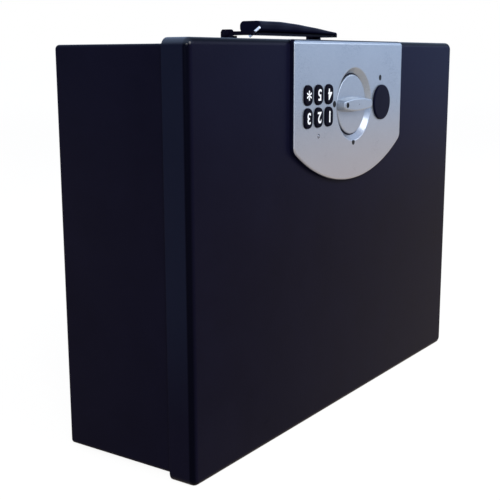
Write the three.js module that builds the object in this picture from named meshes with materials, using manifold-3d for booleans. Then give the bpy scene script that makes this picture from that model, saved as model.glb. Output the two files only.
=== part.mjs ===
// A portable steel lock box for medicines, standing on its hinge edge with its handle on top.
// Millimetres, +Z up. The lid faces -Y, its front face lies at y = 0 of the case frame, and the
// exported group is centred on its own bounding box, with its lowest point at z = 0.
import * as THREE from "three";
import { mergeVertices } from "three/addons/utils/BufferGeometryUtils.js";
import Module from "manifold-3d";

const wasm = await Module();
wasm.setup();

// Driving sizes of the case
const caseWidth = 380;
const caseHeight = 277;
const caseDepth = 111;
const sheet = 1.2;

// Lid pan
const lidFlange = 20;
const lidOverhang = 3.6;
const lidCornerRadius = 6;
const lidBendRadius = 4.5;

// Body tray
const rimSetback = 3;
const bodyCornerRadius = 3;
const bodyBackBend = 2;
const rimRound = 1;
const returnLip = 12;

// Strike angle under the top wall
const strikeHalfWidth = 45;
const strikeThickness = 1.5;
const strikeShelf = 15;

// Piano hinge
const hingeLength = 340;
const knuckleCount = 15;
const knuckleGap = 0.4;
const barrelRadius = 1.5;
const barrelRise = 1.7;
const barrelSetback = 0.4;
const hingePinRadius = 0.6;
const hingePinFit = 0.15;
const leafThickness = 0.7;
const leafWidth = 12;
const leafToBarrel = 0.3;

// Rubber feet
const footRadius = 8;
const footTaper = 1.5;
const backFootHeight = 3;
const footRound = 0.8;
const backFootInsetX = 30;
const backFootInsetZ = 32;
const bottomFootRadius = 6;
const bottomFootInsetX = 25;
const bottomFootFromBack = 14;

// Carrying handle
const gripHalfLength = 55;
const gripHalfWidth = 9;
const gripForward = 15.5;
const gripAboveWall = 9;
const gripHeight = 8.2;
const gripTaperFrom = -25;
const gripTaperDrop = 6.4;
const gripEdgeRadius = 3.2;
const gripEndRound = 1;
const gripRoundShare = 0.45;
const fingerGrooveDepth = 0.7;
const fingerGrooveCount = 4;
const strapThickness = 1.6;
const strapHalfWidth = 6;
const strapTongue = 4;
const pivotAboveWall = 8.6;
const armGap = 2;
const armWidth = 3;
const armHalfHeight = 1.4;
const eyeRadius = 2.7;
const hookThickness = 1;
const hookHalfWidth = 0.95;
const hookLowFromPivot = 15.4;
const hookLowBelowPivot = 2.4;
const hookHighFromPivot = 24.6;
const hookHighAbovePivot = 4;
const handlePinRadius = 1.3;
const handlePinFit = 0.15;
const pinHeadRadius = 2.2;
const pinHeadThickness = 0.8;
const earGap = 0.3;
const bracketSheet = 1.5;
const bracketOuterReach = 13;
const bracketHalfDepth = 10.5;
const earHalfDepth = 5;
const earAbovePivot = 2.8;
const stopTabWidth = 2;
const stopTabOffset = 4;
const handleSwing = 140;
const stopGap = 0.3;
const rivetRadius = 1.6;
const rivetFit = 0.15;
const rivetHeadRadius = 3;
const rivetHeadHeight = 1.2;
const rivetOffsetX = 8;
const rivetOffsetY = 5.5;

// Lock fascia
const fasciaWidth = 161;
const fasciaProud = 4;
const fasciaDrop = 101;
const fasciaSideDrop = 75;
const fasciaCornerRadius = 7;
const fasciaTopRadius = 2;
const fasciaEdgeRadius = 1.2;
const seatGap = 0.3;

// Turning dial
const dialCentreX = 2.6;
const dialDrop = 46;
const bowlRadius = 27.4;
const bowlFloorRadius = 22.7;
const bowlFloorDepth = 3;
const dialFit = 1;
const dialThickness = 1.5;
const dialEdgeRound = 0.8;
const barProud = 4;
const barHalfLength = 21.4;
const barHalfHeight = 4.6;
const barEndHalfHeight = 3;
const barEndRound = 2;
const barEdgeRound = 1;
const barBaseFlare = 1.2;
const pointerDotRadius = 1.7;
const pointerDotDepth = 0.4;
const pointerDotFromEnd = 4.2;
const centreDotRadius = 0.5;
const spindleRadius = 3;
const spindleFit = 0.15;
const spigotHalfWidth = 2;
const wheelScrewRadius = 1.2;
const wheelScrewFit = 0.15;
const wheelScrewLength = 5;
const wheelScrewHeadRadius = 3.5;
const wheelScrewHead = 1.4;
const bushWall = 1.5;
const bushFlangeRadius = 7;
const bushFlangeThickness = 1.2;

// Keypad
const keypadCentreX = -50.2;
const keypadDrop = 45.2;
const keyPitchX = 14.1;
const keyPitchZ = 15.6;
const keyWidth = 10.4;
const keyHeight = 13.6;
const keyCornerRadius = 4.2;
const keyProud = 1.4;
const keyFit = 0.3;
const keyEdgeRound = 0.8;
const keyLip = 0.7;
const keyLipThickness = 0.9;
const keyPocketDepth = 1.8;
const keyPocketMargin = 0.4;
const keyStemRadius = 3;
const keyTravel = 1;
const matThickness = 1.4;
const matWeb = 0.7;
const matMargin = 3.4;
const matFoot = 7;
const boardThickness = 1.6;
const boardScrewRadius = 1.2;
const boardScrewHead = 2.4;
const boardScrewHeadHeight = 1.6;
const boardScrewInset = 3;
const chipHeight = 1.6;
const chipHalfWidth = 5;
const switchHalfWidth = 3;
const switchHeight = 3.8;
const lampX = -49;
const lampDrop = 66;
const lampRadius = 1.5;
const lampProud = 0.4;
const lampFlange = 0.5;

// Emergency keyway and its cap
const coverCentreX = 45;
const coverRadius = 13.3;
const coverThickness = 1.7;
const coverEdgeRound = 0.8;
const coverSkirtRadius = 11.2;
const coverSkirtWall = 1.2;
const coverSkirtDepth = 1;
const coverPocketRadius = 11.6;
const coverPocketDepth = 2.2;
const cylinderRadius = 8;
const cylinderFlangeRadius = 9.6;
const cylinderFlange = 1;
const cylinderLength = 20;
const cylinderFit = 0.2;
const cylinderNutRadius = 12;
const cylinderNutThickness = 3;
const plugRadius = 4.5;
const plugFit = 0.1;
const keywayHalfWidth = 0.8;
const keywayHalfHeight = 3;
const keywayDepth = 6;
const tongueLength = 12;
const tongueHalfWidth = 3.5;
const tongueThickness = 2;
const tongueGap = 0.3;

// Bolt work behind the lid panel
const wheelRadius = 15;
const wheelFront = 4;
const wheelThickness = 3;
const notchHalfWidth = 2.5;
const boltTravel = 10;
const crankPinRadius = 1.75;
const crankPinReach = 7;
const crankSlotFit = 0.4;
const carriageFront = 11;
const carriageThickness = 2;
const carriageHalfWidth = 34;
const carriageBelowDial = 12;
const carriageAboveDial = 5;
const carriageCornerRadius = 3;
const boltOffsetX = 28;
const boltRadius = 4;
const boltBehindStrike = 0.8;
const boltBelowLip = 1.7;
const boltBelowDial = 9;
const boltTipRound = 1.2;
const boltRivetRadius = 1.5;
const boltRivetFit = 0.15;
const guideHalfWidth = 36;
const guideAboveDial = 16;
const guideThickness = 2.4;
const guideFit = 0.25;
const guideBehindBolt = 2.5;
const guideFootLeft = -21;
const guideOverBoard = 6.3;
const guideFootThickness = 1.2;
const solenoidHalfWidth = 9;
const solenoidDepth = 10;
const solenoidBelowWheel = 4;
const solenoidHeight = 24;
const plungerRadius = 2;
const plungerFit = 0.2;
const plungerBelowWheel = 0.3;
const plungerTravel = 3.5;
const plungerBuried = 18;

// Lock housing inside the lid
const housingHalfWidth = 77.5;
const housingDrop = 23;
const housingHeight = 75.5;
const housingDepth = 31.8;
const housingWall = 1.5;
const housingCornerRadius = 6;
const housingEdgeRound = 3;
const housingEar = 9;
const housingEarThickness = 2;
const housingEarHeight = 12;
const studRadius = 2;
const studLength = 7;
const studFit = 0.2;
const nutRadius = 4;
const nutThickness = 3;
const boltSlotFit = 0.6;

// Batteries and their cradle
const cellRadius = 7.1;
const cellLength = 49;
const cellNubRadius = 2.7;
const cellNubLength = 1;
const cellPitchZ = 14.8;
const cellAboveHousingLow = 10.9;
const cellCentreY = 22.6;
const cellFit = 0.3;
const cellEndGap = 1.6;
const cradleHalfWidth = 54;
const cradleFloor = 1.4;
const cradleLegWidth = 4;
const cradleLegHeight = 16;
const contactThickness = 0.5;
const contactHalfWidth = 5;
const contactFit = 0.3;
const doorHalfWidth = 54;
const doorAboveHousingLow = 3.5;
const doorHeight = 30;
const doorFit = 0.3;
const doorCornerRadius = 2;
const doorTabHalfWidth = 8;
const doorTabRise = 1.4;

// Reset button inside the lid
const resetX = -61;
const resetAboveDial = 9;
const resetRadius = 2.6;
const resetFit = 0.3;
const resetProud = 1;
const resetTravel = 0.8;
const resetFlange = 1.2;
const resetFlangeThickness = 1;
const resetStemRadius = 1.4;

// Screws that hold the fascia from inside
const fasciaScrewRadius = 1.4;
const fasciaScrewFit = 0.2;
const fasciaScrewHeadRadius = 2.5;
const fasciaScrewHead = 2;
const fasciaScrewBite = 2.6;
const fasciaScrewX = 68;
const fasciaScrewHighDrop = 19.9;
const fasciaScrewLowDrop = 81;

// Heights: the lock and the handle keep their places below or above the case's top.
const fasciaLow = caseHeight - fasciaDrop;
const fasciaSideLow = caseHeight - fasciaSideDrop;
const dialCentreZ = caseHeight - dialDrop;
const coverCentreZ = dialCentreZ;
const keypadCentreZ = caseHeight - keypadDrop;
const lampZ = caseHeight - lampDrop;
const carriageLow = dialCentreZ - carriageBelowDial;
const carriageHigh = dialCentreZ + carriageAboveDial;
const boltLow = dialCentreZ - boltBelowDial;
const guideLow = dialCentreZ + guideAboveDial;
const solenoidHigh = dialCentreZ - wheelRadius - solenoidBelowWheel;
const solenoidLow = solenoidHigh - solenoidHeight;
const housingHigh = caseHeight - housingDrop;
const housingLow = housingHigh - housingHeight;
const cellLowCentre = housingLow + cellAboveHousingLow;
const doorLow = housingLow + doorAboveHousingLow;
const doorHigh = doorLow + doorHeight;
const resetZ = dialCentreZ + resetAboveDial;
const fasciaScrewHigh = caseHeight - fasciaScrewHighDrop;
const fasciaScrewLow = caseHeight - fasciaScrewLowDrop;

// One overrun serves every cut, and counts set how finely round shapes are faceted.
const overrun = 2;
const roundSteps = 20;
const smallSteps = 10;
const tinySteps = 8;
const cornerSteps = 4;
const arcSteps = 16;
const edgeSteps = 3;
const bluntSteps = 2;
const lidEdgeSteps = 4;

// Materials
function finish(color, roughness, metalness) {
  return new THREE.MeshStandardMaterial({ color, roughness, metalness });
}
const blackPaint = finish(0x15141f, 0.35, 0.4);
const silverPlastic = finish(0xa3adbd, 0.35, 0.6);
const blackPlastic = finish(0x14131c, 0.45, 0);
const blackRubber = finish(0x111114, 0.8, 0);
const zincSteel = finish(0xb4b8bd, 0.3, 0.9);
const brass = finish(0xb59a55, 0.35, 0.9);
const greyPlastic = finish(0x3a3c42, 0.5, 0);
const circuitGreen = finish(0x1d5a35, 0.5, 0);
const lampPlastic = finish(0x6c7078, 0.2, 0);
const redPlastic = finish(0xb02a20, 0.4, 0);
const cellWrap = finish(0x2f4a7a, 0.35, 0.3);

// Solids
function withoutSlivers(index) {
  const kept = [];
  for (let i = 0; i < index.length; i += 3) {
    const [a, b, c] = [index[i], index[i + 1], index[i + 2]];
    if (a !== b && b !== c && c !== a) kept.push(a, b, c);
  }
  return kept;
}

function signedVolume(position, index) {
  const a = new THREE.Vector3();
  const b = new THREE.Vector3();
  const c = new THREE.Vector3();
  let sum = 0;
  for (let i = 0; i < index.length; i += 3) {
    a.fromArray(position, 3 * index[i]);
    b.fromArray(position, 3 * index[i + 1]);
    c.fromArray(position, 3 * index[i + 2]);
    sum += a.dot(b.cross(c));
  }
  return sum;
}

// A closed geometry becomes a solid whose faces point out, however its profile ran.
function solidOf(geometry) {
  geometry.deleteAttribute("normal");
  geometry.deleteAttribute("uv");
  const merged = mergeVertices(geometry);
  const position = merged.attributes.position.array;
  const index = withoutSlivers(merged.index.array);
  if (signedVolume(position, index) < 0) index.reverse();
  const vertProperties = Float32Array.from(position);
  const triVerts = Uint32Array.from(index);
  return new wasm.Manifold(new wasm.Mesh({ numProp: 3, vertProperties, triVerts }));
}

function geometryOf(solid) {
  const mesh = solid.getMesh();
  const geometry = new THREE.BufferGeometry();
  geometry.setAttribute("position", new THREE.BufferAttribute(Float32Array.from(mesh.vertProperties), 3));
  geometry.setIndex(Array.from(mesh.triVerts));
  geometry.computeVertexNormals();
  return geometry;
}

function join(first, ...others) {
  return others.reduce((whole, piece) => whole.add(piece), first);
}

function cut(first, ...others) {
  return others.reduce((whole, piece) => whole.subtract(piece), first);
}

function mirroredX(solid) {
  return solidOf(geometryOf(solid).scale(-1, 1, 1));
}

// Outlines
function rectangle(left, low, right, high) {
  const shape = new THREE.Shape();
  shape.moveTo(left, low);
  shape.lineTo(right, low);
  shape.lineTo(right, high);
  shape.lineTo(left, high);
  shape.closePath();
  return shape;
}

function roundedRectangle(left, low, right, high, radius) {
  const shape = new THREE.Shape();
  shape.moveTo(left + radius, low);
  shape.lineTo(right - radius, low);
  shape.absarc(right - radius, low + radius, radius, -Math.PI / 2, 0);
  shape.lineTo(right, high - radius);
  shape.absarc(right - radius, high - radius, radius, 0, Math.PI / 2);
  shape.lineTo(left + radius, high);
  shape.absarc(left + radius, high - radius, radius, Math.PI / 2, Math.PI);
  shape.lineTo(left, low + radius);
  shape.absarc(left + radius, low + radius, radius, Math.PI, 1.5 * Math.PI);
  return shape;
}

// An arc as points, both ends included
function arcPoints(centreX, centreY, radius, from, to, steps) {
  const points = [];
  for (let i = 0; i <= steps; i += 1) {
    const angle = from + ((to - from) * i) / steps;
    const x = centreX + radius * Math.cos(angle);
    points.push(new THREE.Vector2(x, centreY + radius * Math.sin(angle)));
  }
  return points;
}

function roundedRectanglePoints(left, low, right, high, radius, steps) {
  return [
    ...arcPoints(right - radius, low + radius, radius, -Math.PI / 2, 0, steps),
    ...arcPoints(right - radius, high - radius, radius, 0, Math.PI / 2, steps),
    ...arcPoints(left + radius, high - radius, radius, Math.PI / 2, Math.PI, steps),
    ...arcPoints(left + radius, low + radius, radius, Math.PI, 1.5 * Math.PI, steps),
  ];
}

// Extrusions. A front outline is drawn in X and Z, a side outline in Y and Z, a plan in X and Y.
function extruded(shape, depth, steps) {
  return new THREE.ExtrudeGeometry(shape, { depth, bevelEnabled: false, curveSegments: steps });
}

function frontPrism(shape, yFront, yBack, steps = cornerSteps) {
  return solidOf(extruded(shape, yBack - yFront, steps).rotateX(Math.PI / 2).translate(0, yBack, 0));
}

function sidePrism(shape, xLow, xHigh, steps = cornerSteps) {
  const turn = new THREE.Matrix4().makeBasis(
    new THREE.Vector3(0, 1, 0),
    new THREE.Vector3(0, 0, 1),
    new THREE.Vector3(1, 0, 0),
  );
  return solidOf(extruded(shape, xHigh - xLow, steps).applyMatrix4(turn).translate(xLow, 0, 0));
}

function planPrism(shape, zLow, zHigh, steps = cornerSteps) {
  return solidOf(extruded(shape, zHigh - zLow, steps).translate(0, 0, zLow));
}

function block(xLow, xHigh, yLow, yHigh, zLow, zHigh) {
  return planPrism(rectangle(xLow, yLow, xHigh, yHigh), zLow, zHigh);
}

// Round bars along each axis
function barAlongY(x, z, radius, yFrom, yTo, steps = smallSteps) {
  const bar = new THREE.CylinderGeometry(radius, radius, yTo - yFrom, steps);
  return solidOf(bar.translate(x, (yFrom + yTo) / 2, z));
}

function barAlongX(y, z, radius, xFrom, xTo, steps = smallSteps) {
  const bar = new THREE.CylinderGeometry(radius, radius, xTo - xFrom, steps).rotateZ(Math.PI / 2);
  return solidOf(bar.translate((xFrom + xTo) / 2, y, z));
}

function barAlongZ(x, y, radius, zFrom, zTo, steps = smallSteps) {
  const bar = new THREE.CylinderGeometry(radius, radius, zTo - zFrom, steps).rotateX(Math.PI / 2);
  return solidOf(bar.translate(x, y, (zFrom + zTo) / 2));
}

// A profile of [radius, distance along the axis] pairs, turned about a line along Y
function turnedAlongY(profile, x, z, steps = roundSteps) {
  const points = profile.map(([radius, along]) => new THREE.Vector2(radius, along));
  return solidOf(new THREE.LatheGeometry(points, steps).translate(x, 0, z));
}

// Rings of points with equal counts, skinned one to the next and closed by a fan at both ends
function loft(rings) {
  const count = rings[0].length;
  const positions = [];
  const index = [];
  for (const ring of rings) {
    for (const point of ring) positions.push(point.x, point.y, point.z);
  }
  for (let r = 0; r + 1 < rings.length; r += 1) {
    for (let i = 0; i < count; i += 1) {
      const next = (i + 1) % count;
      const [a, b] = [r * count + i, r * count + next];
      index.push(a, b, b + count, a, b + count, a + count);
    }
  }
  const ends = [[rings[0], 0, true], [rings.at(-1), (rings.length - 1) * count, false]];
  for (const [ring, start, flip] of ends) {
    const centre = new THREE.Vector3();
    for (const point of ring) centre.add(point);
    centre.divideScalar(count);
    const hub = positions.length / 3;
    positions.push(centre.x, centre.y, centre.z);
    for (let i = 0; i < count; i += 1) {
      const next = (i + 1) % count;
      const pair = flip ? [start + next, start + i] : [start + i, start + next];
      index.push(hub, ...pair);
    }
  }
  const geometry = new THREE.BufferGeometry();
  geometry.setAttribute("position", new THREE.Float32BufferAttribute(positions, 3));
  geometry.setIndex(index);
  return solidOf(geometry);
}

function ringAtY(points, y) {
  return points.map((point) => new THREE.Vector3(point.x, y, point.y));
}

// Front outlines stacked along Y: each entry gives a place y and how far its outline is drawn in.
function stackAlongY(outlineAt, entries) {
  return loft(entries.map(([y, inset]) => ringAtY(outlineAt(inset), y)));
}

// A quarter round from a flat front face back to the wall behind it
function frontEdge(yFace, radius, steps) {
  const entries = [];
  for (let i = 0; i <= steps; i += 1) {
    const angle = (Math.PI / 2) * (i / steps);
    entries.push([yFace + radius * (1 - Math.cos(angle)), radius * (1 - Math.sin(angle))]);
  }
  return entries;
}

// A quarter round from a wall back to the flat face behind it
function backEdge(yFace, radius, steps) {
  return frontEdge(-yFace, radius, steps).map(([y, inset]) => [-y, inset]).reverse();
}

// Assembly
const lockBox = new THREE.Group();
const caseFrame = new THREE.Group();
lockBox.add(caseFrame);

function piece(name, solid, material) {
  const mesh = new THREE.Mesh(geometryOf(solid), material);
  mesh.name = name;
  caseFrame.add(mesh);
  return mesh;
}

// Repeated pieces are numbered in the order of their places.
function pieces(name, places, build, material) {
  places.forEach((place, i) => piece(`${name}_${i + 1}`, build(place), material));
}

function pair(name, right, material) {
  piece(`${name}_left`, mirroredX(right), material);
  piece(`${name}_right`, right, material);
}

// Lid pan: a pressed front panel with a flange on all four sides, and two studs welded inside
const halfWidth = caseWidth / 2;
function lidOutline(grow, steps) {
  return (inset) => {
    const shrink = inset - grow;
    const right = halfWidth - shrink;
    const radius = lidCornerRadius - shrink;
    return roundedRectanglePoints(-right, shrink, right, caseHeight - shrink, radius, steps);
  };
}

function lidEnvelope(grow, yBack) {
  const bend = frontEdge(-grow, lidBendRadius + grow, lidEdgeSteps);
  return stackAlongY(lidOutline(grow, cornerSteps), [...bend, [yBack, 0]]);
}

const lidInside = lidEnvelope(-sheet, lidFlange + overrun);
const windowHalfWidth = keyPitchX + keyWidth / 2 + keyLip + keyPocketMargin + keyPocketMargin;
const windowLow = lampZ - lampRadius - lampFlange - overrun;
const windowHigh = keypadCentreZ + keyPitchZ / 2 + keyHeight / 2 + keyLip + keyPocketMargin + keyPocketMargin;
const bushHoleRadius = spindleRadius + spindleFit + bushWall + spindleFit;
const fasciaScrewPlaces = [
  [-fasciaScrewX, fasciaScrewHigh],
  [fasciaScrewX, fasciaScrewHigh],
  [-fasciaScrewX, fasciaScrewLow],
  [fasciaScrewX, fasciaScrewLow],
];
const matHalfWidth = windowHalfWidth + matMargin;
const matLow = windowLow - matFoot;
const matHigh = windowHigh + matMargin;
const boardScrewPlaces = [
  [keypadCentreX - matHalfWidth + boardScrewInset, matLow + boardScrewInset],
  [keypadCentreX + matHalfWidth - boardScrewInset, matLow + boardScrewInset],
];

function panelHole(x, z, radius, steps = smallSteps) {
  return barAlongY(x, z, radius, -overrun, sheet + overrun, steps);
}

const keypadWindow = frontPrism(
  rectangle(keypadCentreX - windowHalfWidth, windowLow, keypadCentreX + windowHalfWidth, windowHigh),
  -overrun,
  sheet + overrun,
);
const studZ = (housingLow + housingHigh) / 2;
const studX = housingHalfWidth + housingEar / 2;
const stud = (x) => barAlongY(x, studZ, studRadius, sheet / 2, sheet + studLength);
piece(
  "lid_shell",
  join(cut(
    lidEnvelope(0, lidFlange),
    lidInside,
    keypadWindow,
    panelHole(dialCentreX, dialCentreZ, bushHoleRadius),
    panelHole(coverCentreX, coverCentreZ, cylinderRadius + cylinderFit, roundSteps),
    ...fasciaScrewPlaces.map(([x, z]) => panelHole(x, z, fasciaScrewRadius + fasciaScrewFit)),
    ...boardScrewPlaces.map(([x, z]) => panelHole(x, z, boardScrewRadius + fasciaScrewFit)),
  ), stud(-studX), stud(studX)),
  blackPaint,
);

// Body tray: five walls, with a lip turned in all round the mouth
function bodyOutline(steps) {
  return (inset) => {
    const shrink = lidOverhang + inset;
    const right = halfWidth - shrink;
    const radius = Math.max(bodyCornerRadius - inset, bodyCornerRadius / 4);
    return roundedRectanglePoints(-right, shrink, right, caseHeight - shrink, radius, steps);
  };
}

const bodyTop = caseHeight - lidOverhang;
const bodyBottom = lidOverhang;
const bodySide = halfWidth - lidOverhang;
const innerTop = bodyTop - sheet;
const lipBack = rimSetback + sheet;
const lipEdge = sheet + returnLip;
const handlePivotY = lidFlange + (caseDepth - lidFlange) / 2;
const armInner = gripHalfLength + armGap;
const armOuter = armInner + armWidth;
const earInner = armOuter + earGap;
const earOuter = earInner + bracketSheet;
const rivetX = earOuter + rivetOffsetX;
const rivetHole = rivetRadius + rivetFit;
const rivetRowsY = [handlePivotY - rivetOffsetY, handlePivotY + rivetOffsetY];
const rivetPlaces = [-rivetX, rivetX].flatMap((x) => rivetRowsY.map((y) => ({ x, y })));

const bodyOuter = stackAlongY(bodyOutline(cornerSteps), [
  ...frontEdge(rimSetback, rimRound, edgeSteps),
  ...backEdge(caseDepth, bodyBackBend, edgeSteps),
]);
const innerSide = bodySide - sheet;
const bodyHollow = frontPrism(
  roundedRectangle(-innerSide, bodyBottom + sheet, innerSide, innerTop, bodyCornerRadius - sheet),
  lipBack,
  caseDepth - sheet,
);
const bodyMouth = frontPrism(
  roundedRectangle(
    -bodySide + lipEdge,
    bodyBottom + lipEdge,
    bodySide - lipEdge,
    bodyTop - lipEdge,
    bodyCornerRadius,
  ),
  rimSetback - overrun,
  lipBack + overrun,
);
piece(
  "body_shell",
  cut(
    bodyOuter,
    bodyHollow,
    bodyMouth,
    ...rivetPlaces.map(
      ({ x, y }) => barAlongZ(x, y, rivetHole, innerTop - overrun, bodyTop + overrun, tinySteps),
    ),
  ),
  blackPaint,
);

// Strike angle: its front leg backs the mouth's lip, where the bolts catch
const lipLowEdge = bodyTop - lipEdge;
const strikeProfile = new THREE.Shape();
strikeProfile.moveTo(lipBack, lipLowEdge);
strikeProfile.lineTo(lipBack + strikeThickness, lipLowEdge);
strikeProfile.lineTo(lipBack + strikeThickness, innerTop - strikeThickness);
strikeProfile.lineTo(lipBack + strikeThickness + strikeShelf, innerTop - strikeThickness);
strikeProfile.lineTo(lipBack + strikeThickness + strikeShelf, innerTop);
strikeProfile.lineTo(lipBack, innerTop);
strikeProfile.closePath();
piece("strike_plate", sidePrism(strikeProfile, -strikeHalfWidth, strikeHalfWidth), zincSteel);

// Piano hinge: both leaves lie in the gap between the lid's flange and the body's bottom wall
const hingeAxisY = lidFlange + barrelSetback + barrelRadius;
const hingeAxisZ = barrelRise;
const knucklePitch = hingeLength / knuckleCount;
const leafEnd = hingeAxisY - barrelRadius - leafToBarrel;

function hingeLeaf(plateLow, isMine) {
  const plateHigh = plateLow + leafThickness;
  let leaf = block(-hingeLength / 2, hingeLength / 2, leafEnd - leafWidth, leafEnd, plateLow, plateHigh);
  for (let i = 0; i < knuckleCount; i += 1) {
    if (isMine(i)) {
      const xLow = -hingeLength / 2 + i * knucklePitch + knuckleGap / 2;
      const xHigh = xLow + knucklePitch - knuckleGap;
      const barrel = barAlongX(hingeAxisY, hingeAxisZ, barrelRadius, xLow, xHigh, tinySteps);
      const tab = block(xLow, xHigh, leafEnd - leafThickness, hingeAxisY, plateLow, plateHigh);
      leaf = join(leaf, barrel, tab);
    }
  }
  const bore = barAlongX(
    hingeAxisY,
    hingeAxisZ,
    hingePinRadius + hingePinFit,
    -hingeLength / 2 - overrun,
    hingeLength / 2 + overrun,
    tinySteps,
  );
  return leaf.subtract(bore);
}

piece("hinge_leaf_body", hingeLeaf(bodyBottom - leafThickness, (i) => i % 2 === 0), blackPaint);
piece("hinge_leaf_lid", hingeLeaf(sheet, (i) => i % 2 === 1), blackPaint);
piece(
  "hinge_pin",
  barAlongX(hingeAxisY, hingeAxisZ, hingePinRadius, -hingeLength / 2, hingeLength / 2),
  zincSteel,
);

// Rubber feet: four on the back, on which the case lies to be opened, and two below its rear edge
function foot(height, radius) {
  return [
    [0, 0],
    [radius, 0],
    [radius - footTaper, height - footRound],
    [radius - footTaper - footRound, height],
    [0, height],
  ];
}

const footPlacesX = [-bodySide + backFootInsetX, bodySide - backFootInsetX];
const footPlacesZ = [bodyBottom + backFootInsetZ, bodyTop - backFootInsetZ];
const backFootPlaces = footPlacesX.flatMap((x) => footPlacesZ.map((z) => ({ x, z })));
const backFootProfile = foot(backFootHeight, footRadius).map(
  ([radius, along]) => [radius, caseDepth + along],
);
pieces(
  "back_foot",
  backFootPlaces,
  ({ x, z }) => turnedAlongY(backFootProfile, x, z, smallSteps),
  blackRubber,
);

const bottomFootPoints = foot(bodyBottom, bottomFootRadius).map(
  ([radius, along]) => new THREE.Vector2(radius, along),
);
pair("bottom_foot", solidOf(
  new THREE.LatheGeometry(bottomFootPoints, smallSteps)
    .rotateX(-Math.PI / 2)
    .translate(bodySide - bottomFootInsetX, caseDepth - bottomFootFromBack, bodyBottom),
), blackRubber);

// Carrying handle: a grip moulded over a flat steel strap, whose ends turn back as two level arms
// that swing on pins. The grip keeps its height on the left and tapers towards its right end.
const pivotZ = bodyTop + pivotAboveWall;
const gripLow = bodyTop + gripAboveWall;
const gripY = handlePivotY - gripForward;
function gripTopAt(x) {
  const beyond = Math.max(0, x - gripTaperFrom) / (gripHalfLength - gripTaperFrom);
  return gripLow + gripHeight - gripTaperDrop * beyond;
}

function gripRing(x, inset) {
  const wave = Math.cos((Math.PI * fingerGrooveCount * x) / gripHalfLength);
  const groove = (fingerGrooveDepth * (1 - wave)) / 2;
  const half = gripHalfWidth - inset;
  const low = gripLow + inset;
  const high = gripTopAt(x) - inset;
  const radius = Math.min(gripEdgeRadius, gripRoundShare * (gripTopAt(x) - gripLow)) - inset / 2;
  const ring = roundedRectanglePoints(gripY - half + groove, low, gripY + half, high, radius, bluntSteps);
  return ring.map((point) => new THREE.Vector3(x, point.x, point.y));
}

const gripStations = 16;
const gripEnd = gripHalfLength - gripEndRound;
const gripRings = [gripRing(-gripHalfLength, gripEndRound / 2)];
for (let i = 0; i <= gripStations; i += 1) {
  gripRings.push(gripRing(gripEnd * ((2 * i) / gripStations - 1), 0));
}
gripRings.push(gripRing(gripHalfLength, gripEndRound / 2));
piece("handle_grip", loft(gripRings), blackPlastic);

const strapLow = gripLow - strapThickness;
const strapFront = gripY - strapHalfWidth;
const strapBack = gripY + strapHalfWidth;
const armLow = pivotZ - armHalfHeight;
const armHigh = pivotZ + armHalfHeight;
const handleArm = join(
  block(armInner, armOuter, strapFront, handlePivotY, armLow, armHigh),
  block(gripHalfLength - strapTongue, armOuter, strapBack - strapTongue, strapBack, strapLow, gripLow),
  barAlongX(handlePivotY, pivotZ, eyeRadius, armInner, armOuter),
);
const pinBore = barAlongX(
  handlePivotY,
  pivotZ,
  handlePinRadius + handlePinFit,
  armInner - overrun,
  armOuter + overrun,
);
const handleArmBored = handleArm.subtract(pinBore);

// The strap's hook lies slantwise across the left end of the grip.
const hookLow = new THREE.Vector2(
  handlePivotY - hookLowFromPivot,
  pivotZ - hookLowBelowPivot,
);
const hookHigh = new THREE.Vector2(
  handlePivotY - hookHighFromPivot,
  pivotZ + hookHighAbovePivot,
);
const hookRun = new THREE.Vector2().subVectors(hookHigh, hookLow).normalize();
const hookSide = new THREE.Vector2(-hookRun.y, hookRun.x).multiplyScalar(hookHalfWidth);
const hookOutline = new THREE.Shape([
  hookLow.clone().sub(hookSide),
  hookHigh.clone().sub(hookSide),
  hookHigh.clone().add(hookSide),
  hookLow.clone().add(hookSide),
]);
piece("handle_strap", join(
  block(-gripHalfLength, gripHalfLength, strapFront, strapBack, strapLow, gripLow),
  sidePrism(hookOutline, -gripHalfLength - hookThickness, -gripHalfLength),
  handleArmBored,
  mirroredX(handleArmBored),
), blackPaint);

const pinHeadFrom = earOuter + earGap;
const pinInner = armInner - earGap;
const pinAt = (radius, xFrom, xTo) => barAlongX(handlePivotY, pivotZ, radius, xFrom, xTo);
pair("handle_pin", join(
  pinAt(handlePinRadius, pinInner - pinHeadThickness, pinHeadFrom + pinHeadThickness),
  pinAt(pinHeadRadius, pinInner - pinHeadThickness, pinInner),
  pinAt(pinHeadRadius, pinHeadFrom, pinHeadFrom + pinHeadThickness),
), zincSteel);

// Brackets: a base on the top wall with an ear for the pin, a low tab on which the arm rests, a
// higher one behind that stops the swing, and two rivets formed through the wall
const restHigh = armLow - stopGap;
const armRise = Math.PI - THREE.MathUtils.degToRad(handleSwing);
const armDrop = stopTabOffset * Math.tan(armRise) - armHalfHeight / Math.cos(armRise);
const swingHigh = pivotZ + armDrop - stopGap;
const bracketHigh = bodyTop + bracketSheet;
const bracketInner = armInner + earGap;
const bracketBase = planPrism(
  roundedRectangle(
    bracketInner,
    handlePivotY - bracketHalfDepth,
    earOuter + bracketOuterReach,
    handlePivotY + bracketHalfDepth,
    bracketSheet,
  ),
  bodyTop,
  bracketHigh,
);
const bracketEar = sidePrism(
  roundedRectangle(
    handlePivotY - earHalfDepth,
    bodyTop,
    handlePivotY + earHalfDepth,
    pivotZ + earAbovePivot,
    bracketSheet,
  ),
  earInner,
  earOuter,
);
const earFooting = block(
  earInner,
  earOuter,
  handlePivotY - earHalfDepth,
  handlePivotY + earHalfDepth,
  bodyTop,
  bracketHigh,
);
const restTab = block(
  bracketInner,
  earInner,
  handlePivotY - stopTabOffset - stopTabWidth,
  handlePivotY - stopTabOffset,
  bodyTop,
  restHigh,
);
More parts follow.
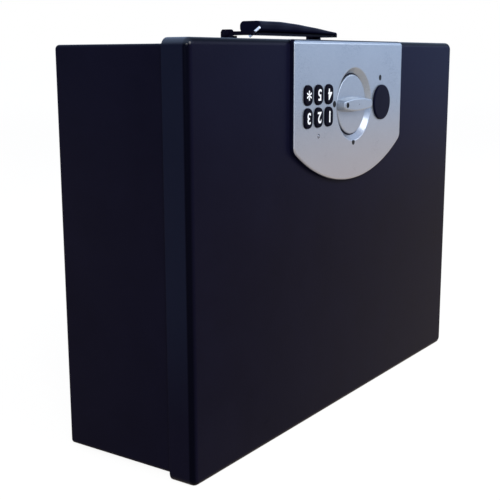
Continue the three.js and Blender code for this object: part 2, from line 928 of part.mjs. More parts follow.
const swingTab = block(
  bracketInner,
  earInner,
  handlePivotY + stopTabOffset,
  handlePivotY + stopTabOffset + stopTabWidth,
  bodyTop,
  swingHigh,
);
const rivets = rivetRowsY.flatMap((y) => [
  barAlongZ(rivetX, y, rivetRadius, innerTop - rivetHeadHeight, bracketHigh + rivetHeadHeight, tinySteps),
  barAlongZ(rivetX, y, rivetHeadRadius, bodyTop, bracketHigh + rivetHeadHeight, smallSteps),
  barAlongZ(rivetX, y, rivetHeadRadius, innerTop - rivetHeadHeight, innerTop, smallSteps),
]);
const pinHole = pinAt(handlePinRadius + handlePinFit, armInner - overrun, earOuter + overrun);
pair(
  "handle_bracket",
  cut(join(bracketBase, bracketEar, earFooting, restTab, swingTab, ...rivets), pinHole),
  blackPaint,
);

// Fascia outline: straight sides, a shallow arc below, and corners blended between them
const fasciaHalf = fasciaWidth / 2;
const arcDrop = fasciaSideLow - fasciaLow;
const fasciaArc = (fasciaHalf * fasciaHalf + arcDrop * arcDrop) / (2 * arcDrop);
const arcCentreZ = fasciaLow + fasciaArc;
function fasciaOutline(inset) {
  const half = fasciaHalf - inset;
  const arc = fasciaArc - inset;
  const corner = fasciaCornerRadius - inset;
  const topRadius = Math.max(fasciaTopRadius - inset, fasciaTopRadius / 4);
  const top = caseHeight - inset;
  const reach = arc - corner;
  const cornerX = half - corner;
  const cornerZ = arcCentreZ - Math.sqrt(reach * reach - cornerX * cornerX);
  const meet = Math.atan2(cornerZ - arcCentreZ, cornerX);
  const leftMeet = -Math.PI - meet;
  return [
    ...arcPoints(cornerX, cornerZ, corner, meet, 0, cornerSteps),
    ...arcPoints(half - topRadius, top - topRadius, topRadius, 0, Math.PI / 2, cornerSteps),
    ...arcPoints(-half + topRadius, top - topRadius, topRadius, Math.PI / 2, Math.PI, cornerSteps),
    ...arcPoints(-cornerX, cornerZ, corner, -Math.PI, leftMeet, cornerSteps),
    ...arcPoints(0, arcCentreZ, arc, leftMeet, meet, arcSteps).slice(1, -1),
  ];
}

const fasciaBody = stackAlongY(fasciaOutline, [
  ...frontEdge(-fasciaProud, fasciaEdgeRadius, edgeSteps),
  [0, 0],
]);
const overBend = rectangle(-fasciaHalf, caseHeight - lidBendRadius, fasciaHalf, caseHeight);
const topFill = cut(
  frontPrism(overBend, -seatGap, lidBendRadius),
  lidEnvelope(seatGap, lidFlange),
);

// The bowl round the dial: a concave wall from the rim down to the disc
const bowlWall = [];
for (let i = 0; i <= cornerSteps; i += 1) {
  const angle = (Math.PI / 2) * (i / cornerSteps);
  const radius = bowlFloorRadius + (bowlRadius - bowlFloorRadius) * (1 - Math.cos(angle));
  bowlWall.push([radius, -fasciaProud + bowlFloorDepth * (1 - Math.sin(angle))]);
}
const bowl = turnedAlongY(
  [
    [0, overrun],
    [bowlFloorRadius, overrun],
    ...bowlWall,
    [bowlRadius, -fasciaProud - overrun],
    [0, -fasciaProud - overrun],
  ],
  dialCentreX,
  dialCentreZ,
  2 * roundSteps,
);

// Keys are tall with well rounded corners, in two rows of three
function keyOutline(grow) {
  const halfKeyWidth = keyWidth / 2 + grow;
  const halfKeyHeight = keyHeight / 2 + grow;
  return (x, z, inset) => roundedRectanglePoints(
    x - halfKeyWidth + inset,
    z - halfKeyHeight + inset,
    x + halfKeyWidth - inset,
    z + halfKeyHeight - inset,
    keyCornerRadius + grow - inset,
    bluntSteps,
  );
}

const keyNames = [["key_star", "key_5", "key_4"], ["key_3", "key_2", "key_1"]];
const keyPlaces = [];
keyNames.forEach((row, rowIndex) => {
  row.forEach((name, column) => {
    const x = keypadCentreX + (column - 1) * keyPitchX;
    const z = keypadCentreZ + (0.5 - rowIndex) * keyPitchZ;
    keyPlaces.push({ name, x, z });
  });
});

function keyPrism({ x, z }, grow, yFront, yBack) {
  return stackAlongY((inset) => keyOutline(grow)(x, z, inset), [[yFront, 0], [yBack, 0]]);
}

const pocketHalfWidth = keyPitchX + keyWidth / 2 + keyLip + keyPocketMargin;
const pocketHalfHeight = keyPitchZ / 2 + keyHeight / 2 + keyLip + keyPocketMargin;
const keyPocket = frontPrism(
  roundedRectangle(
    keypadCentreX - pocketHalfWidth,
    keypadCentreZ - pocketHalfHeight,
    keypadCentreX + pocketHalfWidth,
    keypadCentreZ + pocketHalfHeight,
    keyLip,
  ),
  -keyPocketDepth,
  overrun,
);
const coverPocket = barAlongY(
  coverCentreX,
  coverCentreZ,
  coverPocketRadius,
  -fasciaProud - overrun,
  -fasciaProud + coverPocketDepth,
  roundSteps,
);
piece(
  "lock_fascia",
  cut(
    join(fasciaBody, topFill),
    bowl,
    keyPocket,
    coverPocket,
    barAlongY(coverCentreX, coverCentreZ, cylinderRadius + cylinderFit, -fasciaProud, overrun, roundSteps),
    barAlongY(lampX, lampZ, lampRadius + keyFit / 2, -fasciaProud - overrun, overrun),
    ...keyPlaces.map((place) => keyPrism(place, keyFit, -fasciaProud - overrun, overrun)),
    ...fasciaScrewPlaces.map(([x, z]) => barAlongY(
      x,
      z,
      fasciaScrewRadius + fasciaScrewFit,
      -fasciaScrewBite - fasciaScrewFit,
      overrun,
    )),
  ),
  silverPlastic,
);

pieces("fascia_screw", fasciaScrewPlaces, ([x, z]) => join(
  barAlongY(x, z, fasciaScrewRadius, -fasciaScrewBite, sheet + fasciaScrewHead),
  barAlongY(x, z, fasciaScrewHeadRadius, sheet, sheet + fasciaScrewHead),
), zincSteel);

// Each key: a crowned cap, a lip that the fascia holds in, and a stem over the mat
const lipFront = -keyPocketDepth + keyFit;
const matWebFront = sheet + matThickness - matWeb;
const keyStemBack = matWebFront - keyTravel - keyFit;
for (const place of keyPlaces) {
  const capFace = -fasciaProud - keyProud;
  const cap = stackAlongY((inset) => keyOutline(0)(place.x, place.z, inset), [
    ...frontEdge(capFace, keyEdgeRound, edgeSteps),
    [lipFront, 0],
  ]);
  const lip = keyPrism(place, keyLip, lipFront, lipFront + keyLipThickness);
  const stem = barAlongY(place.x, place.z, keyStemRadius, lipFront, keyStemBack);
  piece(place.name, join(cap, lip, stem), blackRubber);
}

// Keypad mat: a rubber sheet clamped between the lid panel and the circuit board
const matOutline = roundedRectangle(
  keypadCentreX - matHalfWidth,
  matLow,
  keypadCentreX + matHalfWidth,
  matHigh,
  matMargin,
);
const matPocket = frontPrism(
  rectangle(keypadCentreX - windowHalfWidth, windowLow, keypadCentreX + windowHalfWidth, windowHigh),
  sheet - overrun,
  matWebFront,
);
const lampFront = -fasciaProud - lampProud;
const lampBack = sheet + matThickness;
const boardScrewHoles = (yFrom, yTo) => boardScrewPlaces.map(
  ([x, z]) => barAlongY(x, z, boardScrewRadius + fasciaScrewFit, yFrom, yTo),
);
piece(
  "keypad_mat",
  cut(
    frontPrism(matOutline, sheet, sheet + matThickness),
    matPocket,
    barAlongY(lampX, lampZ, lampRadius + lampFlange + keyFit, sheet - overrun, lampBack + overrun),
    ...boardScrewHoles(sheet - overrun, lampBack + overrun),
  ),
  blackRubber,
);

const lampDome = [];
for (let i = 0; i <= edgeSteps; i += 1) {
  const angle = (Math.PI / 2) * (i / edgeSteps);
  lampDome.push([lampRadius * Math.cos(angle), lampFront + lampRadius - lampRadius * Math.sin(angle)]);
}
piece(
  "status_lamp",
  turnedAlongY(
    [
      [0, lampBack],
      [lampRadius + lampFlange, lampBack],
      [lampRadius + lampFlange, sheet],
      [lampRadius, sheet],
      ...lampDome,
    ],
    lampX,
    lampZ,
    smallSteps,
  ),
  lampPlastic,
);

const boardBack = lampBack + boardThickness;
const chipPlaces = [[0, windowHigh - chipHalfWidth], [-matHalfWidth / 2, windowLow + chipHalfWidth]];
const chips = chipPlaces.map(([x, z]) => block(
  keypadCentreX + x - chipHalfWidth,
  keypadCentreX + x + chipHalfWidth,
  boardBack,
  boardBack + chipHeight,
  z - chipHalfWidth,
  z + chipHalfWidth,
));
const resetSwitch = block(
  resetX - switchHalfWidth,
  resetX + switchHalfWidth,
  boardBack,
  boardBack + switchHeight,
  resetZ - switchHalfWidth,
  resetZ + switchHalfWidth,
);
piece(
  "circuit_board",
  cut(
    join(frontPrism(matOutline, lampBack, boardBack), ...chips, resetSwitch),
    ...boardScrewHoles(sheet, boardBack + overrun),
  ),
  circuitGreen,
);
pieces("board_screw", boardScrewPlaces, ([x, z]) => join(
  barAlongY(x, z, boardScrewRadius, sheet / 2, boardBack + boardScrewHeadHeight),
  barAlongY(x, z, boardScrewHead, boardBack, boardBack + boardScrewHeadHeight),
), zincSteel);

// Dial: a disc at the bottom of the bowl, with a finger bar across it and a spindle behind it
const dialRadius = bowlFloorRadius - dialFit;
const dialBack = -seatGap;
const dialFront = dialBack - dialThickness;
const dialDisc = turnedAlongY(
  [
    [0, dialBack],
    [dialRadius, dialBack],
    [dialRadius, dialFront + dialEdgeRound],
    [dialRadius - dialEdgeRound, dialFront],
    [0, dialFront],
  ],
  dialCentreX,
  dialCentreZ,
  2 * roundSteps,
);

// The bar is lens-shaped from the front: tall in the middle and narrower at its blunt ends.
function barOutline(inset) {
  const corner = barEndRound - inset;
  const cornerX = barHalfLength - barEndRound;
  const cornerZ = barEndHalfHeight - barEndRound;
  const rise = barHalfHeight - barEndHalfHeight;
  const quarter = Math.PI / 2;
  const points = [];
  for (const side of [1, -1]) {
    const start = side > 0 ? 0 : Math.PI;
    const [nearX, farX] = [side * cornerX, -side * cornerX];
    points.push(...arcPoints(nearX, side * cornerZ, corner, start, start + quarter, edgeSteps));
    for (let i = 1; i < smallSteps; i += 1) {
      const share = 1 - (2 * i) / smallSteps;
      const z = barEndHalfHeight - inset + rise * (1 - share * share);
      points.push(new THREE.Vector2(share * nearX, side * z));
    }
    points.push(...arcPoints(farX, side * cornerZ, corner, start + quarter, start + 2 * quarter, edgeSteps));
  }
  return points.map((point) => new THREE.Vector2(dialCentreX + point.x, dialCentreZ + point.y));
}
const barFace = -fasciaProud - barProud;
const fingerBar = stackAlongY(barOutline, [
  ...frontEdge(barFace, barEdgeRound, edgeSteps),
  [(dialFront + dialBack) / 2, -barBaseFlare],
]);
const pointerX = dialCentreX - barHalfLength + pointerDotFromEnd;
const spindle = barAlongY(dialCentreX, dialCentreZ, spindleRadius, dialFront, wheelFront);
const spigotOutline = (grow) => rectangle(
  dialCentreX - spigotHalfWidth - grow,
  dialCentreZ - spindleRadius - overrun,
  dialCentreX + spigotHalfWidth + grow,
  dialCentreZ + spindleRadius + overrun,
);
function spigot(grow, yFront, yBack) {
  const round = barAlongY(dialCentreX, dialCentreZ, spindleRadius + grow, yFront, yBack);
  return round.intersect(frontPrism(spigotOutline(grow), yFront, yBack));
}
const wheelBack = wheelFront + wheelThickness;
const screwTip = wheelBack - wheelScrewLength;
piece(
  "dial_knob",
  cut(
    join(dialDisc, fingerBar, spindle, spigot(0, dialFront, wheelBack - wheelScrewFit)),
    barAlongY(pointerX, dialCentreZ, pointerDotRadius, barFace - overrun, barFace + pointerDotDepth),
    barAlongY(dialCentreX, dialCentreZ, centreDotRadius, barFace - overrun, barFace + pointerDotDepth),
    barAlongY(
      dialCentreX,
      dialCentreZ,
      wheelScrewRadius + wheelScrewFit,
      screwTip - wheelScrewFit,
      wheelBack + overrun,
    ),
  ),
  silverPlastic,
);

const bushBore = barAlongY(
  dialCentreX,
  dialCentreZ,
  spindleRadius + spindleFit,
  -overrun,
  wheelFront + overrun,
);
piece(
  "spindle_bush",
  cut(
    join(
      barAlongY(dialCentreX, dialCentreZ, bushHoleRadius - spindleFit, 0, sheet + bushFlangeThickness),
      barAlongY(dialCentreX, dialCentreZ, bushFlangeRadius, sheet, sheet + bushFlangeThickness),
    ),
    bushBore,
  ),
  blackPlastic,
);

// Lock wheel: turns with the spindle, lifts the bolts by its crank pin and has two notches
const crankArm = boltTravel / Math.SQRT2;
const crankX = dialCentreX + boltTravel / 2;
const crankZ = dialCentreZ - boltTravel / 2;
const notchDepth = plungerTravel + plungerBelowWheel + plungerFit;
const notchBelow = block(
  dialCentreX - notchHalfWidth,
  dialCentreX + notchHalfWidth,
  wheelFront - overrun,
  wheelBack + overrun,
  dialCentreZ - wheelRadius - overrun,
  dialCentreZ - wheelRadius + notchDepth,
);
const notchBeside = block(
  dialCentreX - wheelRadius - overrun,
  dialCentreX - wheelRadius + notchDepth,
  wheelFront - overrun,
  wheelBack + overrun,
  dialCentreZ - notchHalfWidth,
  dialCentreZ + notchHalfWidth,
);
piece(
  "lock_wheel",
  cut(
    join(
      barAlongY(dialCentreX, dialCentreZ, wheelRadius, wheelFront, wheelBack, roundSteps),
      barAlongY(crankX, crankZ, crankPinRadius, wheelFront, wheelBack + crankPinReach),
    ),
    spigot(spindleFit, wheelFront - overrun, wheelBack + overrun),
    notchBelow,
    notchBeside,
  ),
  zincSteel,
);
piece(
  "wheel_screw",
  join(
    barAlongY(dialCentreX, dialCentreZ, wheelScrewRadius, screwTip, wheelBack + wheelScrewHead),
    barAlongY(dialCentreX, dialCentreZ, wheelScrewHeadRadius, wheelBack, wheelBack + wheelScrewHead),
  ),
  zincSteel,
);

// Bolt carriage: a plate with a cross slot for the crank pin and a bolt riveted to each end
const slotHalfHeight = crankPinRadius + crankSlotFit;
const slotLeft = dialCentreX + boltTravel / 2 - slotHalfHeight;
const slotRight = dialCentreX + crankArm + slotHalfHeight;
const boltRivetZ = (boltLow + carriageHigh) / 2;
const carriageBack = carriageFront + carriageThickness;
piece(
  "bolt_carriage",
  cut(
    frontPrism(
      roundedRectangle(
        -carriageHalfWidth,
        carriageLow,
        carriageHalfWidth,
        carriageHigh,
        carriageCornerRadius,
      ),
      carriageFront,
      carriageBack,
    ),
    frontPrism(
      roundedRectangle(slotLeft, crankZ - slotHalfHeight, slotRight, crankZ + slotHalfHeight, crankPinRadius),
      carriageFront - overrun,
      carriageBack + overrun,
    ),
    ...[-1, 1].map((side) => barAlongY(
      side * boltOffsetX,
      boltRivetZ,
      boltRivetRadius + boltRivetFit,
      carriageFront - overrun,
      carriageBack + overrun,
    )),
  ),
  zincSteel,
);

// Bolts: round bars flattened below, where they lie on the carriage
const boltY = lipBack + strikeThickness + boltBehindStrike + boltRadius;
const boltTop = lipLowEdge - boltBelowLip;
function bolt(x) {
  const profile = [
    [0, boltLow],
    [boltRadius, boltLow],
    [boltRadius, boltTop - boltTipRound],
    [boltRadius - boltTipRound, boltTop],
    [0, boltTop],
  ].map(([radius, along]) => new THREE.Vector2(radius, along));
  const turned = new THREE.LatheGeometry(profile, smallSteps).rotateX(Math.PI / 2).translate(x, boltY, 0);
  const flat = block(
    x - boltRadius - overrun,
    x + boltRadius + overrun,
    carriageFront,
    carriageFront + boltRadius + overrun,
    boltLow - overrun,
    carriageHigh + seatGap,
  );
  const rivet = barAlongY(x, boltRivetZ, boltRivetRadius, boltY, carriageBack);
  return join(solidOf(turned).subtract(flat), rivet);
}
piece("bolt_left", bolt(-boltOffsetX), zincSteel);
piece("bolt_right", bolt(boltOffsetX), zincSteel);

// Bolt guide: a bent plate whose foot is welded to the lid panel clear of the circuit board
const guideBack = boltY + boltRadius + guideBehindBolt;
const guideHigh = guideLow + guideThickness;
piece(
  "bolt_guide",
  cut(
    join(
      block(-guideHalfWidth, guideHalfWidth, guideOverBoard, guideBack, guideLow, guideHigh),
      block(guideFootLeft, guideHalfWidth, sheet, guideBack, guideLow, guideHigh),
      block(
        guideFootLeft,
        guideHalfWidth,
        sheet,
        sheet + guideFootThickness,
        guideLow - guideThickness,
        guideHigh,
      ),
    ),
    ...[-1, 1].map((side) => barAlongZ(
      side * boltOffsetX,
      boltY,
      boltRadius + guideFit,
      guideLow - overrun,
      guideHigh + overrun,
      roundSteps,
    )),
  ),
  zincSteel,
);

// Solenoid below the wheel: its plunger rises into a notch to hold the dial
const plungerY = (wheelFront + wheelBack) / 2;
const plungerTop = dialCentreZ - wheelRadius - plungerBelowWheel;
piece(
  "solenoid_body",
  cut(
    block(
      dialCentreX - solenoidHalfWidth,
      dialCentreX + solenoidHalfWidth,
      sheet,
      sheet + solenoidDepth,
      solenoidLow,
      solenoidHigh,
    ),
    barAlongZ(
      dialCentreX,
      plungerY,
      plungerRadius + plungerFit,
      solenoidHigh - plungerBuried - plungerFit,
      solenoidHigh + overrun,
    ),
  ),
  zincSteel,
);
piece(
  "solenoid_plunger",
  barAlongZ(dialCentreX, plungerY, plungerRadius, solenoidHigh - plungerBuried, plungerTop),
  zincSteel,
);

// Emergency lock under the round cap
const cylinderSeat = -fasciaProud + coverPocketDepth;
const cylinderFront = cylinderSeat - cylinderFlange;
const plugBore = barAlongY(
  coverCentreX,
  coverCentreZ,
  plugRadius + plugFit,
  cylinderFront - overrun,
  cylinderLength + overrun,
  roundSteps,
);
piece(
  "override_cylinder",
  cut(
    join(
      barAlongY(coverCentreX, coverCentreZ, cylinderRadius, cylinderFront, cylinderLength, roundSteps),
      barAlongY(coverCentreX, coverCentreZ, cylinderFlangeRadius, cylinderFront, cylinderSeat, roundSteps),
    ),
    plugBore,
  ),
  zincSteel,
);
piece(
  "cylinder_nut",
  cut(
    barAlongY(coverCentreX, coverCentreZ, cylinderNutRadius, sheet, sheet + cylinderNutThickness, 6),
    barAlongY(
      coverCentreX,
      coverCentreZ,
      cylinderRadius + plugFit,
      sheet - overrun,
      sheet + cylinderNutThickness + overrun,
      roundSteps,
    ),
  ),
  zincSteel,
);
const tongueFront = cylinderLength + tongueGap;
const tongueBack = tongueFront + tongueThickness;
piece(
  "override_plug",
  cut(
    join(
      barAlongY(coverCentreX, coverCentreZ, plugRadius, cylinderFront, tongueBack, roundSteps),
      frontPrism(
        roundedRectangle(
          coverCentreX - tongueHalfWidth,
          coverCentreZ - tongueLength,
          coverCentreX + tongueHalfWidth,
          coverCentreZ + tongueHalfWidth,
          tongueThickness,
        ),
        tongueFront,
        tongueBack,
      ),
    ),
    block(
      coverCentreX - keywayHalfWidth,
      coverCentreX + keywayHalfWidth,
      cylinderFront - overrun,
      cylinderFront + keywayDepth,
      coverCentreZ - keywayHalfHeight,
      coverCentreZ + keywayHalfHeight,
    ),
  ),
  brass,
);

const capFront = -fasciaProud - coverThickness;
const skirtBack = -fasciaProud + coverSkirtDepth;
piece(
  "key_cover",
  turnedAlongY(
    [
      [0, -fasciaProud],
      [coverSkirtRadius - coverSkirtWall, -fasciaProud],
      [coverSkirtRadius - coverSkirtWall, skirtBack],
      [coverSkirtRadius, skirtBack],
      [coverSkirtRadius, -fasciaProud],
      [coverRadius, -fasciaProud],
      [coverRadius, capFront + coverEdgeRound],
      [coverRadius - coverEdgeRound, capFront],
      [0, capFront],
    ],
    coverCentreX,
    coverCentreZ,
    2 * roundSteps,
  ),
  blackPlastic,
);

// Lock housing: a moulded cover over the lock parts, held to the lid by two studs and nuts
const housingBack = sheet + housingDepth;
const housingOutline = (wall) => (inset) => roundedRectanglePoints(
  -housingHalfWidth + wall + inset,
  housingLow + wall + inset,
  housingHalfWidth - wall - inset,
  housingHigh - wall - inset,
  housingCornerRadius - wall - inset,
  edgeSteps,
);
const housingOuter = stackAlongY(housingOutline(0), [
  [sheet, 0],
  ...backEdge(housingBack, housingEdgeRound, edgeSteps),
]);
const housingInner = stackAlongY(housingOutline(housingWall), [
  [sheet - overrun, 0],
  ...backEdge(housingBack - housingWall, housingEdgeRound - housingWall, edgeSteps),
]);
const earHoleRadius = studRadius + studFit;
const earBack = sheet + housingEarThickness;
const ears = [-1, 1].map((side) => {
  const ends = [side * (housingHalfWidth - housingWall), side * (housingHalfWidth + housingEar)];
  const earLow = studZ - housingEarHeight / 2;
  return cut(
    block(Math.min(...ends), Math.max(...ends), sheet, earBack, earLow, earLow + housingEarHeight),
    barAlongY(side * studX, studZ, earHoleRadius, sheet - overrun, earBack + overrun),
  );
});
const doorOpening = frontPrism(
  roundedRectangle(-doorHalfWidth, doorLow, doorHalfWidth, doorHigh, doorCornerRadius),
  housingBack - housingWall - overrun,
  housingBack + overrun,
);
const tabNotch = block(
  -doorTabHalfWidth,
  doorTabHalfWidth,
  housingBack - housingWall - overrun,
  housingBack + overrun,
  doorHigh - overrun,
  doorHigh + doorTabRise,
);
const resetHole = barAlongY(
  resetX,
  resetZ,
  resetRadius + resetFit,
  housingBack - housingWall - overrun,
  housingBack + overrun,
);
const boltHoles = [-1, 1].map((side) => barAlongZ(
  side * boltOffsetX,
  boltY,
  boltRadius + boltSlotFit,
  housingHigh - housingWall - overrun,
  housingHigh + overrun,
));
piece(
  "lock_housing",
  cut(
    join(housingOuter, ...ears),
    housingInner,
    doorOpening,
    tabNotch,
    resetHole,
    ...boltHoles,
  ),
  greyPlastic,
);

pair("housing_nut", cut(
  barAlongY(studX, studZ, nutRadius, earBack, earBack + nutThickness, 6),
  barAlongY(studX, studZ, earHoleRadius, earBack - overrun, earBack + nutThickness + overrun),
), zincSteel);

// Battery compartment in the lower half of the housing
const doorPanel = frontPrism(
  roundedRectangle(
    -doorHalfWidth + doorFit,
    doorLow + doorFit,
    doorHalfWidth - doorFit,
    doorHigh - doorFit,
    doorCornerRadius,
  ),
  housingBack - housingWall,
  housingBack,
);
const doorTab = block(
  -doorTabHalfWidth + doorFit,
  doorTabHalfWidth - doorFit,
  housingBack - housingWall,
  housingBack,
  doorHigh - doorCornerRadius,
  doorHigh + doorTabRise - doorFit,
);
piece("battery_door", join(doorPanel, doorTab), greyPlastic);

const cellRows = [cellLowCentre, cellLowCentre + cellPitchZ];
const cellMiddle = cellLength + cellEndGap;
const cellPlaces = cellRows.flatMap((z, row) => [
  { z, from: -cellMiddle, to: -cellEndGap / 2 - cellNubLength, nubRight: row === 0 },
  { z, from: cellEndGap / 2 + cellNubLength, to: cellMiddle, nubRight: row === 0 },
]);
pieces("battery", cellPlaces, ({ z, from, to, nubRight }) => join(
  barAlongX(cellCentreY, z, cellRadius, from, to, roundSteps),
  barAlongX(
    cellCentreY,
    z,
    cellNubRadius,
    nubRight ? from + cellRadius : from - cellNubLength,
    nubRight ? to + cellNubLength : to - cellRadius,
  ),
), cellWrap);

const cradleLow = cellLowCentre - cellRadius - cellFit;
const cradleHigh = cellLowCentre + cellPitchZ + cellRadius + cellFit;
const cradleFront = cellCentreY - cellRadius - cellFit - cradleFloor;
const cradleBody = block(-cradleHalfWidth, cradleHalfWidth, cradleFront, cellCentreY, cradleLow, cradleHigh);
const cradleLegs = [-1, 1].map((side) => block(
  Math.min(side * cradleHalfWidth, side * (cradleHalfWidth - cradleLegWidth)),
  Math.max(side * cradleHalfWidth, side * (cradleHalfWidth - cradleLegWidth)),
  sheet,
  cradleFront + cradleFloor / 2,
  cradleLow,
  cradleLow + cradleLegHeight,
));
const cellBeds = cellRows.map((z) => barAlongX(
  cellCentreY,
  z,
  cellRadius + cellFit,
  -cradleHalfWidth + cradleFloor,
  cradleHalfWidth - cradleFloor,
  roundSteps,
));
const contactOuter = cradleHalfWidth - cradleFloor;
const contactBlock = (grow) => block(
  contactOuter - contactThickness - grow,
  contactOuter,
  cellCentreY - contactHalfWidth - grow,
  cellCentreY + grow,
  cellLowCentre - contactHalfWidth - grow,
  cellLowCentre + cellPitchZ + contactHalfWidth + grow,
);
const contactPocket = contactBlock(contactFit);
piece(
  "battery_cradle",
  cut(join(cradleBody, ...cradleLegs), ...cellBeds, contactPocket, mirroredX(contactPocket)),
  blackPlastic,
);
pair("battery_contact", contactBlock(0), zincSteel);

// Reset button: a rod from the housing's back down to the switch on the board
const resetBack = housingBack + resetProud;
const resetFlangeBack = housingBack - housingWall - resetFit;
const resetFlangeFront = resetFlangeBack - resetFlangeThickness;
const resetTip = boardBack + switchHeight + resetTravel + resetFit;
piece(
  "reset_button",
  join(
    barAlongY(resetX, resetZ, resetRadius, resetFlangeBack, resetBack),
    barAlongY(resetX, resetZ, resetRadius + resetFlange, resetFlangeFront, resetFlangeBack),
    barAlongY(resetX, resetZ, resetStemRadius, resetTip, resetBack),
  ),
  redPlastic,
);

// The group's origin is the middle of the outline, at the height of the lid's lower edge.
const frontReach = fasciaProud + barProud;
const backReach = caseDepth + backFootHeight;
caseFrame.position.y = (frontReach - backReach) / 2;
lockBox.updateMatrixWorld(true);

export default lockBox;
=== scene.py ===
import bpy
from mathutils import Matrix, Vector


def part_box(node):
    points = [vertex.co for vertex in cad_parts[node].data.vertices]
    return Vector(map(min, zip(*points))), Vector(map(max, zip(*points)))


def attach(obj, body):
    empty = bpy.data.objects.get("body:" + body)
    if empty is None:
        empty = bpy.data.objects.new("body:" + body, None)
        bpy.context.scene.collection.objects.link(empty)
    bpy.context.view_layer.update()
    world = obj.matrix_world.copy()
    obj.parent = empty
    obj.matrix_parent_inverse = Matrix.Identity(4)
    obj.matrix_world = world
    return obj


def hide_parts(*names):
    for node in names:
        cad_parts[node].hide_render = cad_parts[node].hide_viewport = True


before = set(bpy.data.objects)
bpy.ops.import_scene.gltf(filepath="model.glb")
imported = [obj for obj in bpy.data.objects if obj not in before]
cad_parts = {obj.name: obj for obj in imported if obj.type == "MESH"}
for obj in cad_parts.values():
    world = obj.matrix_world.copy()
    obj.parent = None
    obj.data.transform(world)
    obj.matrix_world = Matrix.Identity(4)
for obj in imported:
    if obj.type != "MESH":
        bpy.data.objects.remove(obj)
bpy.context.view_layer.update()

import math

import bmesh
import bpy
from mathutils import Matrix, Vector

# The view: a camera to the left of the box and a little above it, with a short telephoto lens.
# Pieces are drawn in millimetres in the case's own frame, where the lid's front face lies at
# y = 0 and the hinge edge stands on z = 0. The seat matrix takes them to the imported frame.
millimetre = 0.001
face_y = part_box("lid_shell")[0].y
seat = Matrix.Translation((0, face_y, 0)) @ Matrix.Diagonal((*[millimetre] * 3, 1))

bpy.context.scene.view_settings.view_transform = "Standard"
camera = bpy.data.objects.new("camera", bpy.data.cameras.new("camera"))
bpy.context.scene.collection.objects.link(camera)
bpy.context.scene.camera = camera
camera.data.lens = 67.96
eye = seat @ Vector((-621.7, -340.4, 265.6))
sight = Vector((0.80652, 0.55614, -0.20059))
upward = Vector((0.16665, 0.11168, 0.97967))
turn = Matrix((sight.cross(upward), upward, -sight)).transposed().to_4x4()
camera.matrix_world = Matrix.Translation(eye) @ turn


# The counter and the light: a wide pale top under a white surround, with four round lamps: broad
# ones to the left, to the right and above the front, and a small one low on the left. Cameras see
# all round white, glossy surfaces see a cool sky and a warm counter, which keeps the box's shadow.
class Knot:
    """One output of a node. Arithmetic on it adds Math nodes to the tree it belongs to."""

    def __init__(self, bench, socket):
        self.bench = bench
        self.socket = socket

    def maths(self, operation, *terms):
        return self.bench.node("ShaderNodeMath", {"operation": operation}, dict(enumerate(terms)))

    def __add__(self, other):
        return self.maths("ADD", self, other)

    def __radd__(self, other):
        return self.maths("ADD", other, self)

    def __sub__(self, other):
        return self.maths("SUBTRACT", self, other)

    def __rsub__(self, other):
        return self.maths("SUBTRACT", other, self)

    def __mul__(self, other):
        return self.maths("MULTIPLY", self, other)

    def __rmul__(self, other):
        return self.maths("MULTIPLY", other, self)

    def __truediv__(self, other):
        return self.maths("DIVIDE", self, other)

    def __rtruediv__(self, other):
        return self.maths("DIVIDE", other, self)

    def __pow__(self, other):
        return self.maths("POWER", self, other)

    def __neg__(self):
        return self.maths("MULTIPLY", self, -1.0)

    def at_most(self, other):
        return self.maths("MINIMUM", self, other)

    def rise(self, low, high):
        """0 below low, 1 above high, and a smooth step between them."""
        values = {"Value": self, "From Min": low, "From Max": high}
        return self.bench.node("ShaderNodeMapRange", {"interpolation_type": "SMOOTHSTEP"}, values)

    def part(self, name):
        """Another output of the same node."""
        return Knot(self.bench, self.socket.node.outputs[name])


class Bench:
    """A node tree, and the one way in which nodes are added to it."""

    def __init__(self, tree):
        self.tree = tree
        tree.nodes.clear()

    def node(self, kind, settings=None, values=None, out=0):
        made = self.tree.nodes.new(kind)
        for name, value in (settings or {}).items():
            if name == "stops":
                ramp = made.color_ramp.elements
                while len(ramp) < len(value):
                    ramp.new(1.0)
                for element, (place, shade) in zip(ramp, value):
                    element.position = place
                    element.color = (*shade, 1.0)
            else:
                setattr(made, name, value)
        for name, value in (values or {}).items():
            socket = made.inputs[name]
            for one in value if isinstance(value, list) else [value]:
                if isinstance(one, Knot):
                    self.tree.links.new(one.socket, socket)
                else:
                    socket.default_value = one
        return Knot(self, made.outputs[out]) if made.outputs else None

    def mixed(self, share, first, second):
        """A colour between two colours."""
        return self.node("ShaderNodeMix", {"data_type": "RGBA"}, {0: share, 6: first, 7: second}, 2)

    def noise(self, place, scale, detail=2.0, roughness=0.5):
        values = {"Vector": place, "Scale": scale, "Detail": detail, "Roughness": roughness}
        return self.node("ShaderNodeTexNoise", None, values)

    def spot(self):
        """The point on the piece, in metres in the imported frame."""
        return self.node("ShaderNodeTexCoord", out="Object")

    def along(self, place):
        """The x, y and z of a point."""
        x = self.node("ShaderNodeSeparateXYZ", None, {"Vector": place})
        return x, x.part("Y"), x.part("Z")

    def bump(self, height, depth):
        """Normals of a surface whose height runs from 0 to depth, in metres."""
        return self.node("ShaderNodeBump", None, {"Height": height, "Distance": depth})

    def lit(self, kind, colour, strength):
        """A sky or a surface that shines by itself."""
        return self.node(kind, None, {"Color": colour, "Strength": strength})

    def blended(self, share, first, second):
        """A shader between two shaders."""
        return self.node("ShaderNodeMixShader", None, {0: share, 1: first, 2: second})

    def coat(self, values):
        shader = self.node("ShaderNodeBsdfPrincipled", None, values)
        self.node("ShaderNodeOutputMaterial", None, {"Surface": shader})


def finish(name):
    """A new material and the bench that its nodes are laid out on."""
    material = bpy.data.materials.new(name)
    material.use_nodes = True
    return material, Bench(material.node_tree)


